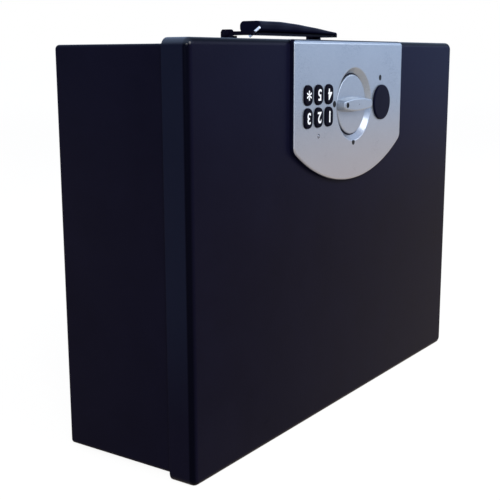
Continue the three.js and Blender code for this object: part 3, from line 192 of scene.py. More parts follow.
def rgb(red, green, blue):
    """A colour written as it is seen on a screen, 0 to 255, as the light it gives back."""
    straight = [((level / 255 + 0.055) / 1.055) ** 2.4 if level > 10 else level / 3294.6
                for level in (red, green, blue)]
    return (*straight, 1.0)


def ray_is(bench, *kinds):
    """1 for the rays of some kinds, such as those of the camera, and 0 for all others."""
    path = bench.node("ShaderNodeLightPath")
    shares = [path.part(f"Is {kind} Ray") for kind in kinds]
    return sum(shares[1:], shares[0]).at_most(1.0)


surround = bpy.data.worlds.new("surround")
surround.use_nodes = True
bpy.context.scene.world = surround
glow = Bench(surround.node_tree)
soft_glow = glow.lit("ShaderNodeBackground", rgb(228, 237, 255), 0.4)
white = glow.lit("ShaderNodeBackground", rgb(255, 255, 255), 1.0)
cool = glow.lit("ShaderNodeBackground", rgb(190, 216, 255), 1.4)
thrown = glow.blended(ray_is(glow, "Glossy"), soft_glow, cool)
seen = glow.blended(ray_is(glow, "Camera", "Transmission"), thrown, white)
glow.node("ShaderNodeOutputWorld", None, {"Surface": seen})

counter_half = 80
counter_near, counter_far = 1.2, 6.0
counter_paint, top = finish("counter_paint")
matt = top.node("ShaderNodeBsdfDiffuse", None, {"Color": rgb(238, 236, 232)})
along_x, along_y, _ = top.along(top.spot())
far = ((along_x ** 2 + along_y ** 2) ** 0.5).rise(counter_near, counter_far)
bright = top.lit("ShaderNodeEmission", rgb(255, 255, 255), 1.093 + 0.031 * far)
sheen_tint = top.mixed(far, rgb(255, 238, 220), rgb(196, 218, 255))
sheen_strength = 1.9 + 0.4 * far - 0.95 * along_x.rise(-0.9, 0.0)
sheen = top.lit("ShaderNodeEmission", sheen_tint, sheen_strength)
mirrored_top = top.blended(ray_is(top, "Glossy") * 0.9, matt, sheen)
shown = top.blended(ray_is(top, "Camera", "Transmission") * 0.85, mirrored_top, bright)
top.node("ShaderNodeOutputMaterial", None, {"Surface": shown})
counter = bpy.data.objects.new("counter", bpy.data.meshes.new("counter"))
corners = [(x * counter_half, y * counter_half, 0) for x, y in ((-1, -1), (1, -1), (1, 1), (-1, 1))]
counter.data.from_pydata(corners, [], [(0, 1, 2, 3)])
counter.data.materials.append(counter_paint)
bpy.context.scene.collection.objects.link(counter)


lamp_aim = Vector((0, 0, 0.14))


def lamp(name, place, width, power, tint):
    """A round lamp that points at the middle of the box."""
    light = bpy.data.objects.new(name, bpy.data.lights.new(name, "AREA"))
    light.data.shape = "DISK"
    light.data.size = width
    light.data.energy = power
    light.data.color = tint
    light.location = place
    light.rotation_mode = "QUATERNION"
    light.rotation_quaternion = (Vector(place) - lamp_aim).to_track_quat("Z", "Y")
    bpy.context.scene.collection.objects.link(light)


lamp("key_lamp", (-1.7, -1.4, 1.4), 1.1, 36, (1.0, 0.98, 0.96))
lamp("fill_lamp", (1.7, -1.3, 1.0), 1.1, 9, (0.9, 0.95, 1.0))
lamp("edge_lamp", (-1.9, -0.5, 0.45), 0.35, 3.5, (1.0, 1.0, 1.0))
lamp("top_lamp", (0.1, -1.8, 1.6), 1.2, 24, (1.0, 0.99, 0.97))


# The lid: a pan pressed from 1.2 mm steel, with a deep flange on all four sides, rounded bends,
# holes for the lock and two welded studs. Its black powder coat has a fine orange peel and is
# glossier at the upper left corner. Its colour also carries painted light: painted shade along the
# bends, and a painted bluish reflection on the flange and on the upper right of the front.
case_width, case_height, case_depth = 380, 277, 111
half_width = case_width / 2
sheet = 1.2
raw_edge = 0.3
lid_flange, lid_corner, lid_bend = 20, 6, 4.5
quarter = math.pi / 2


def arc(x, z, radius, start, end, steps):
    """Points on an arc seen from the front, from one angle to another."""
    turns = [start + (end - start) * i / steps for i in range(steps + 1)]
    return [(x + radius * math.cos(t), z + radius * math.sin(t)) for t in turns]


def rounded(left, low, right, high, radius, steps=8):
    """A rectangle with round corners, as points that run counterclockwise."""
    centres = [(right, low, -1), (right, high, 0), (left, high, 1), (left, low, 2)]
    points = []
    for x, z, turns in centres:
        centre_x = x - radius if x == right else x + radius
        centre_z = z - radius if z == high else z + radius
        points += arc(centre_x, centre_z, radius, turns * quarter, (turns + 1) * quarter, steps)
    return points


def ring_at(points, y):
    return [Vector((x, y, z)) for x, z in points]


def skin(rings):
    """A mesh skinned over rings of equal counts, closed at both ends by a flat face."""
    shape = bmesh.new()
    rows = [[shape.verts.new(point) for point in ring] for ring in rings]
    for near, far in zip(rows, rows[1:]):
        for i in range(len(near)):
            j = (i + 1) % len(near)
            shape.faces.new((near[i], near[j], far[j], far[i]))
    for end in (rows[0], rows[-1]):
        shape.faces.new(end)
    bmesh.ops.recalc_face_normals(shape, faces=shape.faces)
    return shape


def eased_front(y, radius, steps=6):
    """Places along y and insets of a quarter round, from a flat front back to the wall."""
    turns = [quarter * i / steps for i in range(steps + 1)]
    return [(y + radius * (1 - math.cos(t)), radius * (1 - math.sin(t))) for t in turns]


def eased_back(y, radius, steps=6):
    return [(-place, inset) for place, inset in reversed(eased_front(-y, radius, steps))]


def as_object(name, shape):
    """An object in the scene that takes over a drawn shape."""
    item = bpy.data.objects.new(name, bpy.data.meshes.new(name))
    shape.to_mesh(item.data)
    shape.free()
    bpy.context.scene.collection.objects.link(item)
    return item


def made_mesh(item):
    """The plain mesh that an object's modifiers or letters make."""
    bpy.context.view_layer.update()
    return bpy.data.meshes.new_from_object(item.evaluated_get(bpy.context.evaluated_depsgraph_get()))


def settled(item):
    """Gives a piece the mesh that its modifiers make, and takes them away."""
    mesh = made_mesh(item)
    item.modifiers.clear()
    item.data = mesh
    return mesh


def wrought(name, shape, *materials, cutters=(), added=(), ease=0.0, rounds=2, crease=38, placed=False):
    """A finished piece from a drawn shape: joined, cut, its sharp edges eased, then shaded."""
    if not placed:
        shape.transform(seat)
    item = as_object(name, shape)
    for material in materials:
        item.data.materials.append(material)
    tools = []
    for kind, solids in (("UNION", added), ("DIFFERENCE", cutters)):
        for solid in solids:
            solid.transform(seat)
            step = item.modifiers.new(kind, "BOOLEAN")
            step.operation = kind
            step.solver = "EXACT"
            step.object = as_object("tool", solid)
            tools.append(step.object)
    if ease:
        bevel = item.modifiers.new("eased", "BEVEL")
        bevel.width = ease * millimetre
        bevel.segments = rounds
        bevel.limit_method = "ANGLE"
        bevel.angle_limit = math.radians(crease)
    mesh = settled(item)
    mesh.shade_smooth()
    mesh.set_sharp_from_angle(angle=math.radians(crease))
    weighted = item.modifiers.new("flat_faces_first", "WEIGHTED_NORMAL")
    weighted.keep_sharp = True
    settled(item).name = name
    for tool in tools:
        bpy.data.objects.remove(tool)
    return item


def fitted(item, body, slot, *nodes):
    """Hands a finished piece to the frame, in place of the nodes that it shows."""
    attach(item, body)
    if nodes:
        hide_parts(*nodes)


def prism(points, y_front, y_back):
    return skin([ring_at(points, y_front), ring_at(points, y_back)])


def circle(x, z, radius, steps):
    return arc(x, z, radius, 0, 2 * math.pi, steps)[:-1]


def round_bar(x, z, radius, y_front, y_back, steps=48):
    return prism(circle(x, z, radius, steps), y_front, y_back)


def behind(y, front, back):
    """0 in front of one depth behind the lid's face and 1 behind another, both in millimetres."""
    return y.rise(face_y + front * millimetre, face_y + back * millimetre)


powder_coat, black = finish("powder_coat")
spot = black.spot()
peel = black.noise(spot, 520.0, 2.0)
grain = black.noise(spot, 2600.0, 2.0)
handling = black.noise(spot, 26.0, 4.0, 0.6)
x, y, z = black.along(spot)
on_lid = 1.0 - behind(y, lid_flange - 0.5, lid_flange + 0.5)
on_front = 1.0 - behind(y, 0, 1.2)
on_flange = behind(y, 3.2, 4.6) * on_lid
bend_shade_mask = on_lid * (1.0 - on_front) * (1.0 - on_flange)
on_corner = (1.0 - x.rise(-0.1885, -0.1835)) * z.rise(0.2722, 0.2745) * on_lid
tone = black.mixed(handling, rgb(9, 8, 21), rgb(15, 14, 29))
# Painted reflection: the flange is lighter and bluer from a little above its foot upward.
tone = black.mixed(0.45 * on_flange * z.rise(0.02, 0.13), tone, rgb(20, 26, 42))
# Painted reflection: the front turns lighter and bluer towards its top and its right, as a sky reflection.
tone = black.mixed(x.rise(-0.3, 0.16) * z.rise(0.12, 0.275) * on_front, tone, rgb(19, 21, 43))
black.coat({
    # Painted shade: the colour of the bends is darkened almost to black.
    "Base Color": black.mixed(0.9 * bend_shade_mask, tone, rgb(2, 2, 8)),
    "Roughness": 0.22 + 0.1 * handling + 0.06 * grain,
    "Specular IOR Level": 0.019,
    "Specular Tint": (0.58, 0.68, 1.0, 1.0),
    "Coat Weight": (0.8 + 0.1 * handling) * on_corner,
    "Coat Roughness": 0.05,
    "Normal": black.bump(0.7 * peel + 0.3 * grain, 0.00006),
})


def lid_outline(inset):
    right = half_width - inset
    return rounded(-right, inset, right, case_height - inset, lid_corner - inset)


dial_x, dial_z = 2.6, 231
cover_x, cover_z = 45, 231
pad_x, pad_z = -50.2, 231.8
pad_window = (pad_x - 20.8, 207, pad_x + 20.8, 247.9)
spindle_hole, cylinder_hole, screw_hole = 4.95, 8.2, 1.6
screw_spots = [(-68, 257.1), (68, 257.1), (-68, 196), (68, 196)]
stud_x, stud_z, stud_radius, stud_length = 82, 216.25, 2, 7
cut_front, cut_back = -2, 3.2
lid_path = [
    *eased_front(0, lid_bend, 8),
    *eased_back(lid_flange, raw_edge, 3),
    *[(y, sheet - inset) for y, inset in reversed(eased_back(lid_flange, raw_edge, 3))],
    *[(sheet + y, sheet + inset) for y, inset in reversed(eased_front(0, lid_bend - sheet, 6))],
]
lock_holes = [prism(rounded(*pad_window, 1.0, 2), cut_front, cut_back)]
for x, z, radius in [
    (dial_x, dial_z, spindle_hole),
    (cover_x, cover_z, cylinder_hole),
    *[(*spot, screw_hole) for spot in screw_spots],
]:
    lock_holes.append(round_bar(x, z, radius, cut_front, cut_back))
lid_pan = wrought(
    "lid_pan",
    skin([ring_at(lid_outline(inset), y) for y, inset in lid_path]),
    powder_coat,
    added=[round_bar(side * stud_x, stud_z, stud_radius, sheet - 0.4, sheet + stud_length, 32)
           for side in (-1, 1)],
    cutters=lock_holes,
)
fitted(lid_pan, "lid", "black_paint", "lid_shell")


# The body: a deep tray of the same sheet that the lid closes over. A lip is turned in all round
# its mouth to stiffen it, and its back and side walls are bent to small radii and seam welded.
body_low, body_high, body_side = 3.6, 273.4, 186.4
lip_front, lip_depth, mouth_radius = 3, 13.2, 3
rivet_x, rivet_places, rivet_hole = 69.8, (60.0, 71.0), 1.75


def body_outline(inset, radius):
    right = body_side - inset
    return rounded(-right, body_low + inset, right, body_high - inset, radius)


body_path = [
    (case_depth - sheet, sheet + 1.5, 0.8),
    (case_depth - sheet - 0.5, sheet + 0.4, 1.4),
    (case_depth - sheet - 1.5, sheet, 1.8),
    (lip_front + sheet + 1, sheet, 1.8),
    (lip_front + sheet + 0.3, sheet + 0.3, 1.6),
    (lip_front + sheet, sheet + 1, 1.4),
    (lip_front + sheet, lip_depth - raw_edge, 3.2),
    (lip_front + sheet - raw_edge, lip_depth, 3),
    (lip_front + raw_edge, lip_depth, 3),
    (lip_front, lip_depth - raw_edge, 3.2),
    *[(y, inset, max(mouth_radius - inset, 0.8))
      for y, inset in [*eased_front(lip_front, 1, 5), *eased_back(case_depth, 2, 6)]],
]


def upright(points, z_low, z_high):
    """A solid that stands on an outline drawn in x and y."""
    return skin([[Vector((x, y, z)) for x, y in points] for z in (z_low, z_high)])


body_tray = wrought(
    "body_tray",
    skin([ring_at(body_outline(inset, radius), y) for y, inset, radius in body_path]),
    powder_coat,
    cutters=[upright(circle(side * rivet_x, y, rivet_hole, 32), body_high - 3.4, body_high + 2.6)
             for side in (-1, 1) for y in rivet_places],
)
fitted(body_tray, "case", "black_paint", "body_shell")


# The strike angle: bent zinc plated steel welded under the top wall. Its front leg backs the
# mouth's lip, and the bolts rise behind it when the dial is turned.
def eased_copy(name, node, material, body, slot, ease=0.25, rounds=2):
    """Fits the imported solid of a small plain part, merged, with its sharp edges eased."""
    shape = bmesh.new()
    shape.from_mesh(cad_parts[node].data)
    bmesh.ops.remove_doubles(shape, verts=shape.verts, dist=1e-6)
    bmesh.ops.dissolve_limit(shape, angle_limit=0.02, verts=shape.verts, edges=shape.edges)
    piece = wrought(name, shape, material, ease=ease, rounds=rounds, crease=40, placed=True)
    fitted(piece, body, slot, node)


zinc_plate, zinc = finish("zinc_plate")
spot = zinc.spot()
drawn = zinc.node("ShaderNodeMapping", None, {"Vector": spot, "Scale": (60.0, 900.0, 900.0)})
lines = zinc.noise(drawn, 1.0, 3.0)
spangle = zinc.noise(spot, 140.0, 3.0)
zinc.coat({
    "Base Color": zinc.mixed(spangle, rgb(168, 172, 178), rgb(196, 199, 202)),
    "Metallic": 1.0,
    "Roughness": 0.26 + 0.16 * lines + 0.08 * spangle,
    "Normal": zinc.bump(lines, 0.00002),
})
eased_copy("strike_angle", "strike_plate", zinc_plate, "case", "zinc_steel")


# The piano hinge: two steel leaves in the gap between lid and body, rolled into knuckles of turn
# and turn about, on one long steel pin. Leaves and knuckles are coated with the case.
def laid_out(name, places, build, material, **sizes):
    """Runs a Geometry Nodes tree over a set of points, and gives back the plain mesh it makes."""
    tree = bpy.data.node_groups.new(name, "GeometryNodeTree")
    sockets = tree.interface.new_socket
    sockets("Places", in_out="INPUT", socket_type="NodeSocketGeometry")
    inputs = [(sockets(label, in_out="INPUT", socket_type="NodeSocketFloat"), value)
              for label, value in sizes.items()]
    inputs.append((sockets("material", in_out="INPUT", socket_type="NodeSocketMaterial"), material))
    sockets("Made", in_out="OUTPUT", socket_type="NodeSocketGeometry")
    bench = Bench(tree)
    entry = bench.node("NodeGroupInput")
    made = build(bench, entry.part("Places"), {label: entry.part(label) for label in sizes})
    whole = bench.node("GeometryNodeRealizeInstances", None, {"Geometry": made})
    dressed = {"Geometry": whole, "Material": entry.part("material")}
    bench.node("NodeGroupOutput", None, {"Made": bench.node("GeometryNodeSetMaterial", None, dressed)})
    points = bpy.data.meshes.new(name)
    points.from_pydata(places, [], [])
    item = bpy.data.objects.new(name, points)
    bpy.context.scene.collection.objects.link(item)
    growth = item.modifiers.new("laid_out", "NODES")
    growth.node_group = tree
    for socket, value in inputs:
        growth[socket.identifier] = value
    mesh = made_mesh(item)
    bpy.data.objects.remove(item)
    shape = bmesh.new()
    shape.from_mesh(mesh)
    bmesh.ops.remove_doubles(shape, verts=shape.verts, dist=millimetre)
    bmesh.ops.recalc_face_normals(shape, faces=shape.faces)
    return shape


def slab(bench, size, middle):
    """A block of three sizes about a middle, each a number or a knot."""
    corner = [dict(enumerate(three)) for three in (size, middle)]
    size, middle = (bench.node("ShaderNodeCombineXYZ", None, three) for three in corner)
    block = bench.node("GeometryNodeMeshCube", None, {"Size": size})
    return bench.node("GeometryNodeTransform", None, {"Geometry": block, "Translation": middle})


def copied(bench, places, solid, turned_by=(0.0, 0.0, 0.0)):
    values = {"Points": places, "Instance": solid, "Rotation": turned_by}
    return bench.node("GeometryNodeInstanceOnPoints", None, values)


def less(bench, solid, *cut):
    """A solid with others cut away from it."""
    values = {"Mesh 1": solid, "Mesh 2": list(cut)}
    return bench.node("GeometryNodeMeshBoolean", {"operation": "DIFFERENCE"}, values)


def hinge_leaf(bench, places, size):
    """A flat leaf and, at each place, a rolled knuckle with the tab that joins it to the leaf."""
    thick = size["leaf_thickness"]
    high = size["leaf_low"] + thick / 2
    leaf = slab(
        bench,
        (size["leaf_length"], size["leaf_width"], thick),
        (0.0, size["leaf_end"] - size["leaf_width"] / 2, high),
    )
    barrel = bench.node("GeometryNodeMeshCylinder", None, {
        "Vertices": 24, "Radius": size["barrel_radius"], "Depth": size["knuckle_length"],
    })
    knuckles = copied(bench, places, barrel, (0.0, quarter, 0.0))
    reach = size["axis_y"] - size["leaf_end"] + thick
    tab = slab(
        bench,
        (size["knuckle_length"], reach, thick),
        (0.0, reach / 2 - (size["axis_y"] - size["leaf_end"]) - thick, high - size["axis_z"]),
    )
    tabs = copied(bench, places, tab)
    parts = [leaf]
    for one in (knuckles, tabs):
        parts.append(bench.node("GeometryNodeRealizeInstances", None, {"Geometry": one}))
    joined = bench.node("GeometryNodeMeshBoolean", {"operation": "UNION"}, {"Mesh 2": parts})
    bore = bench.node("GeometryNodeMeshCylinder", None, {
        "Vertices": 24, "Radius": size["bore_radius"], "Depth": size["leaf_length"] + 4.0,
    })
    axis = bench.node("ShaderNodeCombineXYZ", None, {0: 0.0, 1: size["axis_y"], 2: size["axis_z"]})
    bore = bench.node("GeometryNodeTransform", None, {
        "Geometry": bore, "Translation": axis, "Rotation": (0.0, quarter, 0.0),
    })
    return less(bench, joined, bore)


hinge_y, hinge_z, hinge_length = 21.9, 1.7, 340.0
knuckles_in_all, knuckle_gap = 15, 0.4
knuckle_pitch = hinge_length / knuckles_in_all
for body, node, first, low in (("case", "hinge_leaf_body", 0, 2.9), ("lid", "hinge_leaf_lid", 1, 1.2)):
    middles = [(i + 0.5) * knuckle_pitch - hinge_length / 2 for i in range(first, knuckles_in_all, 2)]
    leaf = laid_out(
        node,
        [(x, hinge_y, hinge_z) for x in middles],
        hinge_leaf,
        powder_coat,
        leaf_length=hinge_length, leaf_width=12.0, leaf_thickness=0.7, leaf_low=low, leaf_end=20.1,
        knuckle_length=knuckle_pitch - knuckle_gap, barrel_radius=1.5, bore_radius=0.75,
        axis_y=hinge_y, axis_z=hinge_z,
    )
    fitted(wrought(f"{node}_rolled", leaf, powder_coat), body, "black_paint", node)


def lathe(profile, place, axis, steps):
    """A turned solid: pairs of radius and height, about an axis through a place."""
    aim = {"X": Vector((1, 0, 0)), "Y": Vector((0, 1, 0))}[axis]
    side = aim.zxy
    across = aim.cross(side)
    return skin([
        [Vector(place) + side * a + across * b + aim * height for a, b in circle(0, 0, radius, steps)]
        for radius, height in profile
    ])


wire_radius, wire_half, wire_point = 0.6, hinge_length / 2, 0.2
wire_profile = [
    (wire_radius - 0.15, -wire_half),
    (wire_radius, wire_point - wire_half),
    (wire_radius, wire_half - wire_point),
    (wire_radius - 0.15, wire_half),
]
pin_wire = lathe(wire_profile, (0, hinge_y, hinge_z), "X", 24)
fitted(wrought("hinge_wire", pin_wire, zinc_plate), "case", "zinc_steel", "hinge_pin")


# The feet: six moulded rubber buttons. Four on the back take the case when it lies down to be
# opened, and two under its rear edge level it with the lid's flange when it stands.
soft_rubber, rubber = finish("soft_rubber")
spot = rubber.spot()
bloom = rubber.noise(spot, 90.0, 4.0, 0.6)
fine = rubber.noise(spot, 2200.0, 2.0)
rubber.coat({
    "Base Color": rubber.mixed(bloom, rgb(5, 5, 14), rgb(12, 12, 24)),
    "Roughness": 0.55 + 0.2 * bloom,
    "Specular IOR Level": 0.02,
    "Normal": rubber.bump(fine, 0.00005),
})


def turned(bench, radius, sides, steps):
    """A turned solid grown from a disc: each step is a rise, and a share its face is drawn to."""
    values = {"Vertices": sides, "Radius": radius}
    disc = bench.node("GeometryNodeMeshCircle", {"fill_type": "NGON"}, values)
    base = bench.node("GeometryNodeFlipFaces", None, {"Mesh": disc})
    body, chosen = disc, True
    for rise, share in steps:
        values = {"Mesh": body, "Selection": chosen, "Offset Scale": rise}
        grown = bench.node("GeometryNodeExtrudeMesh", {"mode": "FACES"}, values)
        chosen = grown.part("Top")
        values = {"Geometry": grown, "Selection": chosen, "Scale": share}
        body = bench.node("GeometryNodeScaleElements", {"domain": "FACE"}, values)
    return bench.node("GeometryNodeJoinGeometry", None, {"Geometry": [body, base]})


def tilted(bench, axis, angle):
    """A turn about one axis, by an angle that is a knot."""
    euler = bench.node("ShaderNodeCombineXYZ", None, {axis: angle})
    return bench.node("FunctionNodeEulerToRotation", None, {"Euler": euler})


def foot_row(bench, places, size):
    """A foot with a tapered wall, a rounded rim and a shallow dish in its face."""
    radius, height = size["radius"], size["height"]
    wall = radius - size["taper"]
    rim = wall - size["rim_round"]
    foot = turned(bench, radius, 48, [
        (height - size["rim_round"], wall / radius),
        (size["rim_round"] * 0.7, (wall - size["rim_round"] * 0.3) / wall),
        (size["rim_round"] * 0.3, rim / (wall - size["rim_round"] * 0.3)),
        (0.0, 0.72),
        (-size["dish"], 0.86),
    ])
    return copied(bench, places, foot, tilted(bench, 0, size["tilt"]))


foot_shape = {"taper": 1.5, "rim_round": 0.8, "dish": 0.5}
back_spots = [(side * 156.4, case_depth, z) for side in (-1, 1) for z in (35.6, 241.4)]
rear_feet = laid_out("rear_feet", back_spots, foot_row, soft_rubber,
                     radius=8.0, height=3.0, tilt=-quarter, **foot_shape)
back_feet = [f"back_foot_{i}" for i in range(1, 5)]
fitted(wrought("rear_feet", rear_feet, soft_rubber), "case", "black_rubber", *back_feet)
low_spots = [(side * 161.4, 97, body_low) for side in (-1, 1)]
low_feet = laid_out("low_feet", low_spots, foot_row, soft_rubber,
                    radius=6.0, height=body_low, tilt=math.pi, **foot_shape)
bottom_feet = [f"bottom_foot_{side}" for side in ("left", "right")]
fitted(wrought("low_feet", low_feet, soft_rubber), "case", "black_rubber", *bottom_feet)


# The handle's brackets: two pressed steel angles, coated black and riveted through the top wall.
# Each has an ear that carries a pin, a tab on which the handle's arm rests and one that stops it.
pivot_y, pivot_z = 65.5, 282.0
bracket_inner, ear_inner, ear_outer, bracket_outer = 57.3, 60.3, 61.8, 74.8
bracket_thick, bracket_sunk, tab_thick = 1.5, 0.2, 2
rest_tab, stop_tab = (59.5, 280.3), (69.5, 283.2)
eye_bore = 1.45


def cuboid(x_low, x_high, y_low, y_high, z_low, z_high):
    return upright([(x_low, y_low), (x_high, y_low), (x_high, y_high), (x_low, y_high)], z_low, z_high)


def mirrored(shape):
    other = shape.copy()
    bmesh.ops.scale(other, vec=(-1, 1, 1), verts=other.verts)
    bmesh.ops.recalc_face_normals(other, faces=other.faces)
    return other


def handed(side, solids):
    """Solids drawn for the right end of the handle, mirrored for its left end."""
    return solids if side > 0 else [mirrored(solid) for solid in solids]


def side_plate(points, x_low, x_high):
    return skin([[Vector((x, y, z)) for y, z in points] for x in (x_low, x_high)])


def pivot_bar(radius, x_low, x_high, steps):
    """A round bar or bore on the line of the handle's pins."""
    return lathe([(radius, x_low), (radius, x_high)], (0, pivot_y, pivot_z), "X", steps)


ends = ((-1, "left"), (1, "right"))
for side, name in ends:
    sole_outline = rounded(bracket_inner, 55, bracket_outer, 76, 1.5, 6)
    ear_outline = rounded(pivot_y - 5, body_high + bracket_sunk, pivot_y + 5, pivot_z + 2.8, 1.8, 6)
    tabs = [cuboid(bracket_inner + 0.05, ear_inner + 0.5, y, y + tab_thick, body_high + bracket_sunk, high)
            for y, high in (rest_tab, stop_tab)]
    sole, bore, *raised = handed(side, [
        upright(sole_outline, body_high, body_high + bracket_thick),
        pivot_bar(eye_bore, 50, 70, 32),
        side_plate(ear_outline, ear_inner, ear_outer),
        *tabs,
    ])
    bracket = wrought(f"bracket_{name}", sole, powder_coat, added=raised, cutters=[bore], ease=0.25, rounds=3)
    fitted(bracket, "case", "black_paint", f"handle_bracket_{name}")


def rivet_row(bench, places, size):
    """A rivet through the wall: a flat head inside, a shank, and a domed head outside."""
    head, shank = size["head_radius"], size["shank_radius"]
    rivet = turned(bench, head, 32, [
        (size["inner_head"], 1.0),
        (0.0, shank / head),
        (size["grip"], 1.0),
        (0.0, head / shank),
        (size["dome"] * 0.35, 0.97),
        (size["dome"] * 0.3, 0.86),
        (size["dome"] * 0.22, 0.72),
        (size["dome"] * 0.13, 0.5),
    ])
    return copied(bench, places, rivet)


inner_head = 1.2
rivet_spots = [(side * rivet_x, y, body_high - sheet - inner_head) for side in (-1, 1) for y in rivet_places]
rivets = laid_out("handle_rivets", rivet_spots, rivet_row, powder_coat, head_radius=3.0,
                  shank_radius=1.6, inner_head=inner_head, grip=sheet + bracket_thick, dome=1.2)
fitted(wrought("handle_rivets", rivets, powder_coat, crease=50), "case", "black_paint")

pin_radius, pin_head = 1.3, 2.2
pin_profile = [
    (1.6, 55.9), (pin_head, 56.15), (pin_head, 56.7), (pin_radius, 56.7),
    (pin_radius, 62.1), (pin_head, 62.1), (pin_head, 62.6), (1.9, 62.8), (1.0, 62.9),
]
for side, name in ends:
    [pin] = handed(side, [lathe(pin_profile, (0, pivot_y, pivot_z), "X", 40)])
    fitted(wrought(f"pivot_pin_{name}", pin, powder_coat), "case", "zinc_steel", f"handle_pin_{name}")


# The carrying handle: a flat steel strap, coated black, whose ends turn back as two level arms on
# the pins, with a bright nickel hook across its left end. A black plastic grip is moulded over it.
grip_half, grip_low, grip_high, grip_y = 55.0, 282.4, 290.6, 50.0
strap_half, strap_thick = 6, 1.6
arm_inner, arm_outer, arm_half, eye_radius = 57, 60, 1.4, 2.7


def arm(side):
    """A level arm, the tongue that joins it to the strap, and the eye round its pin."""
    tongue_low = grip_low - strap_thick
    return handed(side, [
        cuboid(arm_inner, arm_outer, grip_y - strap_half, pivot_y, pivot_z - arm_half, pivot_z + arm_half),
        cuboid(arm_inner - 6, arm_outer, grip_y + 2, grip_y + strap_half, tongue_low, grip_low),
        pivot_bar(eye_radius, arm_inner, arm_outer, 40),
    ])


strap = wrought(
    "strap",
    cuboid(-grip_half, grip_half, grip_y - strap_half, grip_y + strap_half, grip_low - strap_thick, grip_low),
    powder_coat,
    added=[*arm(1), *arm(-1)],
    cutters=[pivot_bar(eye_bore, -70, 70, 40)],
    ease=0.25,
    rounds=3,
)
fitted(strap, "handle", "black_paint", "handle_strap")

bright_nickel, nickel = finish("bright_nickel")
wear = nickel.noise(nickel.spot(), 900.0, 3.0)
nickel.coat({
    "Base Color": nickel.mixed(wear, rgb(236, 240, 246), rgb(250, 252, 255)),
    "Metallic": 0.55,
    "Roughness": 0.2 + 0.1 * wear,
})
hook_low, hook_high, hook_half = Vector((50.1, 279.6)), Vector((40.9, 286.0)), 0.95
hook_side = (hook_high - hook_low).normalized().orthogonal() * hook_half
hook_outline = [hook_low - hook_side, hook_high - hook_side, hook_high + hook_side, hook_low + hook_side]
hook = wrought("strap_hook", side_plate(hook_outline, -grip_half - 1, -grip_half), bright_nickel,
               ease=0.2, rounds=3)
fitted(hook, "handle", "black_paint")

moulded_black, plastic = finish("moulded_black")
spot = plastic.spot()
etch = plastic.noise(spot, 1500.0, 3.0, 0.6)
hands = plastic.noise(spot, 60.0, 4.0)
plastic.coat({
    "Base Color": plastic.mixed(hands, rgb(8, 9, 24), rgb(13, 14, 33)),
    "Specular Tint": (0.5, 0.6, 1.0, 1.0),
    "Roughness": 0.26 + 0.12 * hands + 0.05 * etch,
    "Specular IOR Level": 0.02,
    "Normal": plastic.bump(etch, 0.00004),
})


grip_reach, grip_corner, end_round = 9, 3.2, 0.9
finger_groove = 0.35
fall_from, grip_fall = -25, 6.4


def grip_ring(x, inset):
    """A ring of the grip. Its top is level on the left and falls in a soft curve to the right."""
    groove = finger_groove * (1 - math.cos(4 * math.pi * x / grip_half))
    reach = grip_reach - inset
    fall = grip_fall * (max(0.0, x - fall_from) / (grip_half - fall_from)) ** 1.35
    high = grip_high - fall - inset
    radius = min(grip_corner, 0.42 * (high - grip_low)) - inset / 2
    points = rounded(grip_y - reach + groove, grip_low + inset, grip_y + reach, high, radius, 8)
    return [Vector((x, y, z)) for y, z in points]


grip_rings = [grip_ring((grip_half - end_round) * math.sin(quarter * i / 48), 0) for i in range(-48, 49)]
for from_end, inset in reversed(eased_front(0, end_round, 5)[:-1]):
    grip_rings.insert(0, grip_ring(from_end - grip_half, inset))
    grip_rings.append(grip_ring(grip_half - from_end, inset))
grip = wrought("grip", skin(grip_rings), moulded_black)
fitted(grip, "handle", "black_plastic", "handle_grip")


# The lock's fascia: an injection moulded plate in silver metallic paint, with straight sides and
# an arched foot, hooked over the lid's top bend and screwed on from inside. It has three printed
# dots, and a fourth of the same ink fills the dimple in the dial's finger bar.
fascia_half, fascia_proud, fascia_edge = 80.5, 4.0, 1.2
fascia_low, fascia_side_low = 176.0, 202.0
fascia_corner, fascia_top_corner = 7, 2
top_round, top_reach = 3.6, 9
printed_dots = [(-27.2, 232.3, 2.3), (2.0, 203.3, 2.2), (43.3, 249.6, 2.2), (-14.6, 231, 2.0)]


def away_from(x, z, place_x, place_z):
    """How far a point is from a place in millimetres, as seen from the front, in metres."""
    return ((x - place_x * millimetre) ** 2 + (z - place_z * millimetre) ** 2) ** 0.5


silver_paint, silver = finish("silver_paint")
spot = silver.spot()
x, y, z = silver.along(spot)
marked = 0.0
for dot_x, dot_z, radius in printed_dots:
    away = away_from(x, z, dot_x, dot_z)
    marked = marked + (1.0 - away.rise((radius - 0.15) * millimetre, (radius + 0.1) * millimetre))
marked = marked * (1.0 - behind(y, 0.1 - fascia_proud, 0.3 - fascia_proud))
flake = silver.node("ShaderNodeTexVoronoi", None, {"Vector": spot, "Scale": 3600.0}, "Color")
flake_level = silver.along(flake)[0]
cloud = silver.noise(spot, 30.0, 4.0)
gate = silver.noise(spot, 1100.0, 2.0)
pale = silver.mixed(0.6 * flake_level + 0.4 * cloud, rgb(119, 128, 140), rgb(147, 156, 168))
# Painted reflection: the silver is warmer and greyer towards the foot of the plate, as a reflection of the
# warm counter.
pale = silver.mixed(0.6 - 0.6 * z.rise(0.175, 0.24), pale, rgb(151, 145, 151))
silver.coat({
    "Base Color": silver.mixed(marked, pale, rgb(6, 7, 12)),
    "Metallic": 0.6 * (1.0 - marked),
    "Roughness": 0.25 + 0.1 * flake_level + 0.05 * cloud,
    "Specular IOR Level": 0.08,
    "Coat Weight": (0.6 + 0.1 * cloud) * (1.0 - marked),
    "Coat Roughness": 0.09,
    "Normal": silver.bump(gate, 0.00002),
})


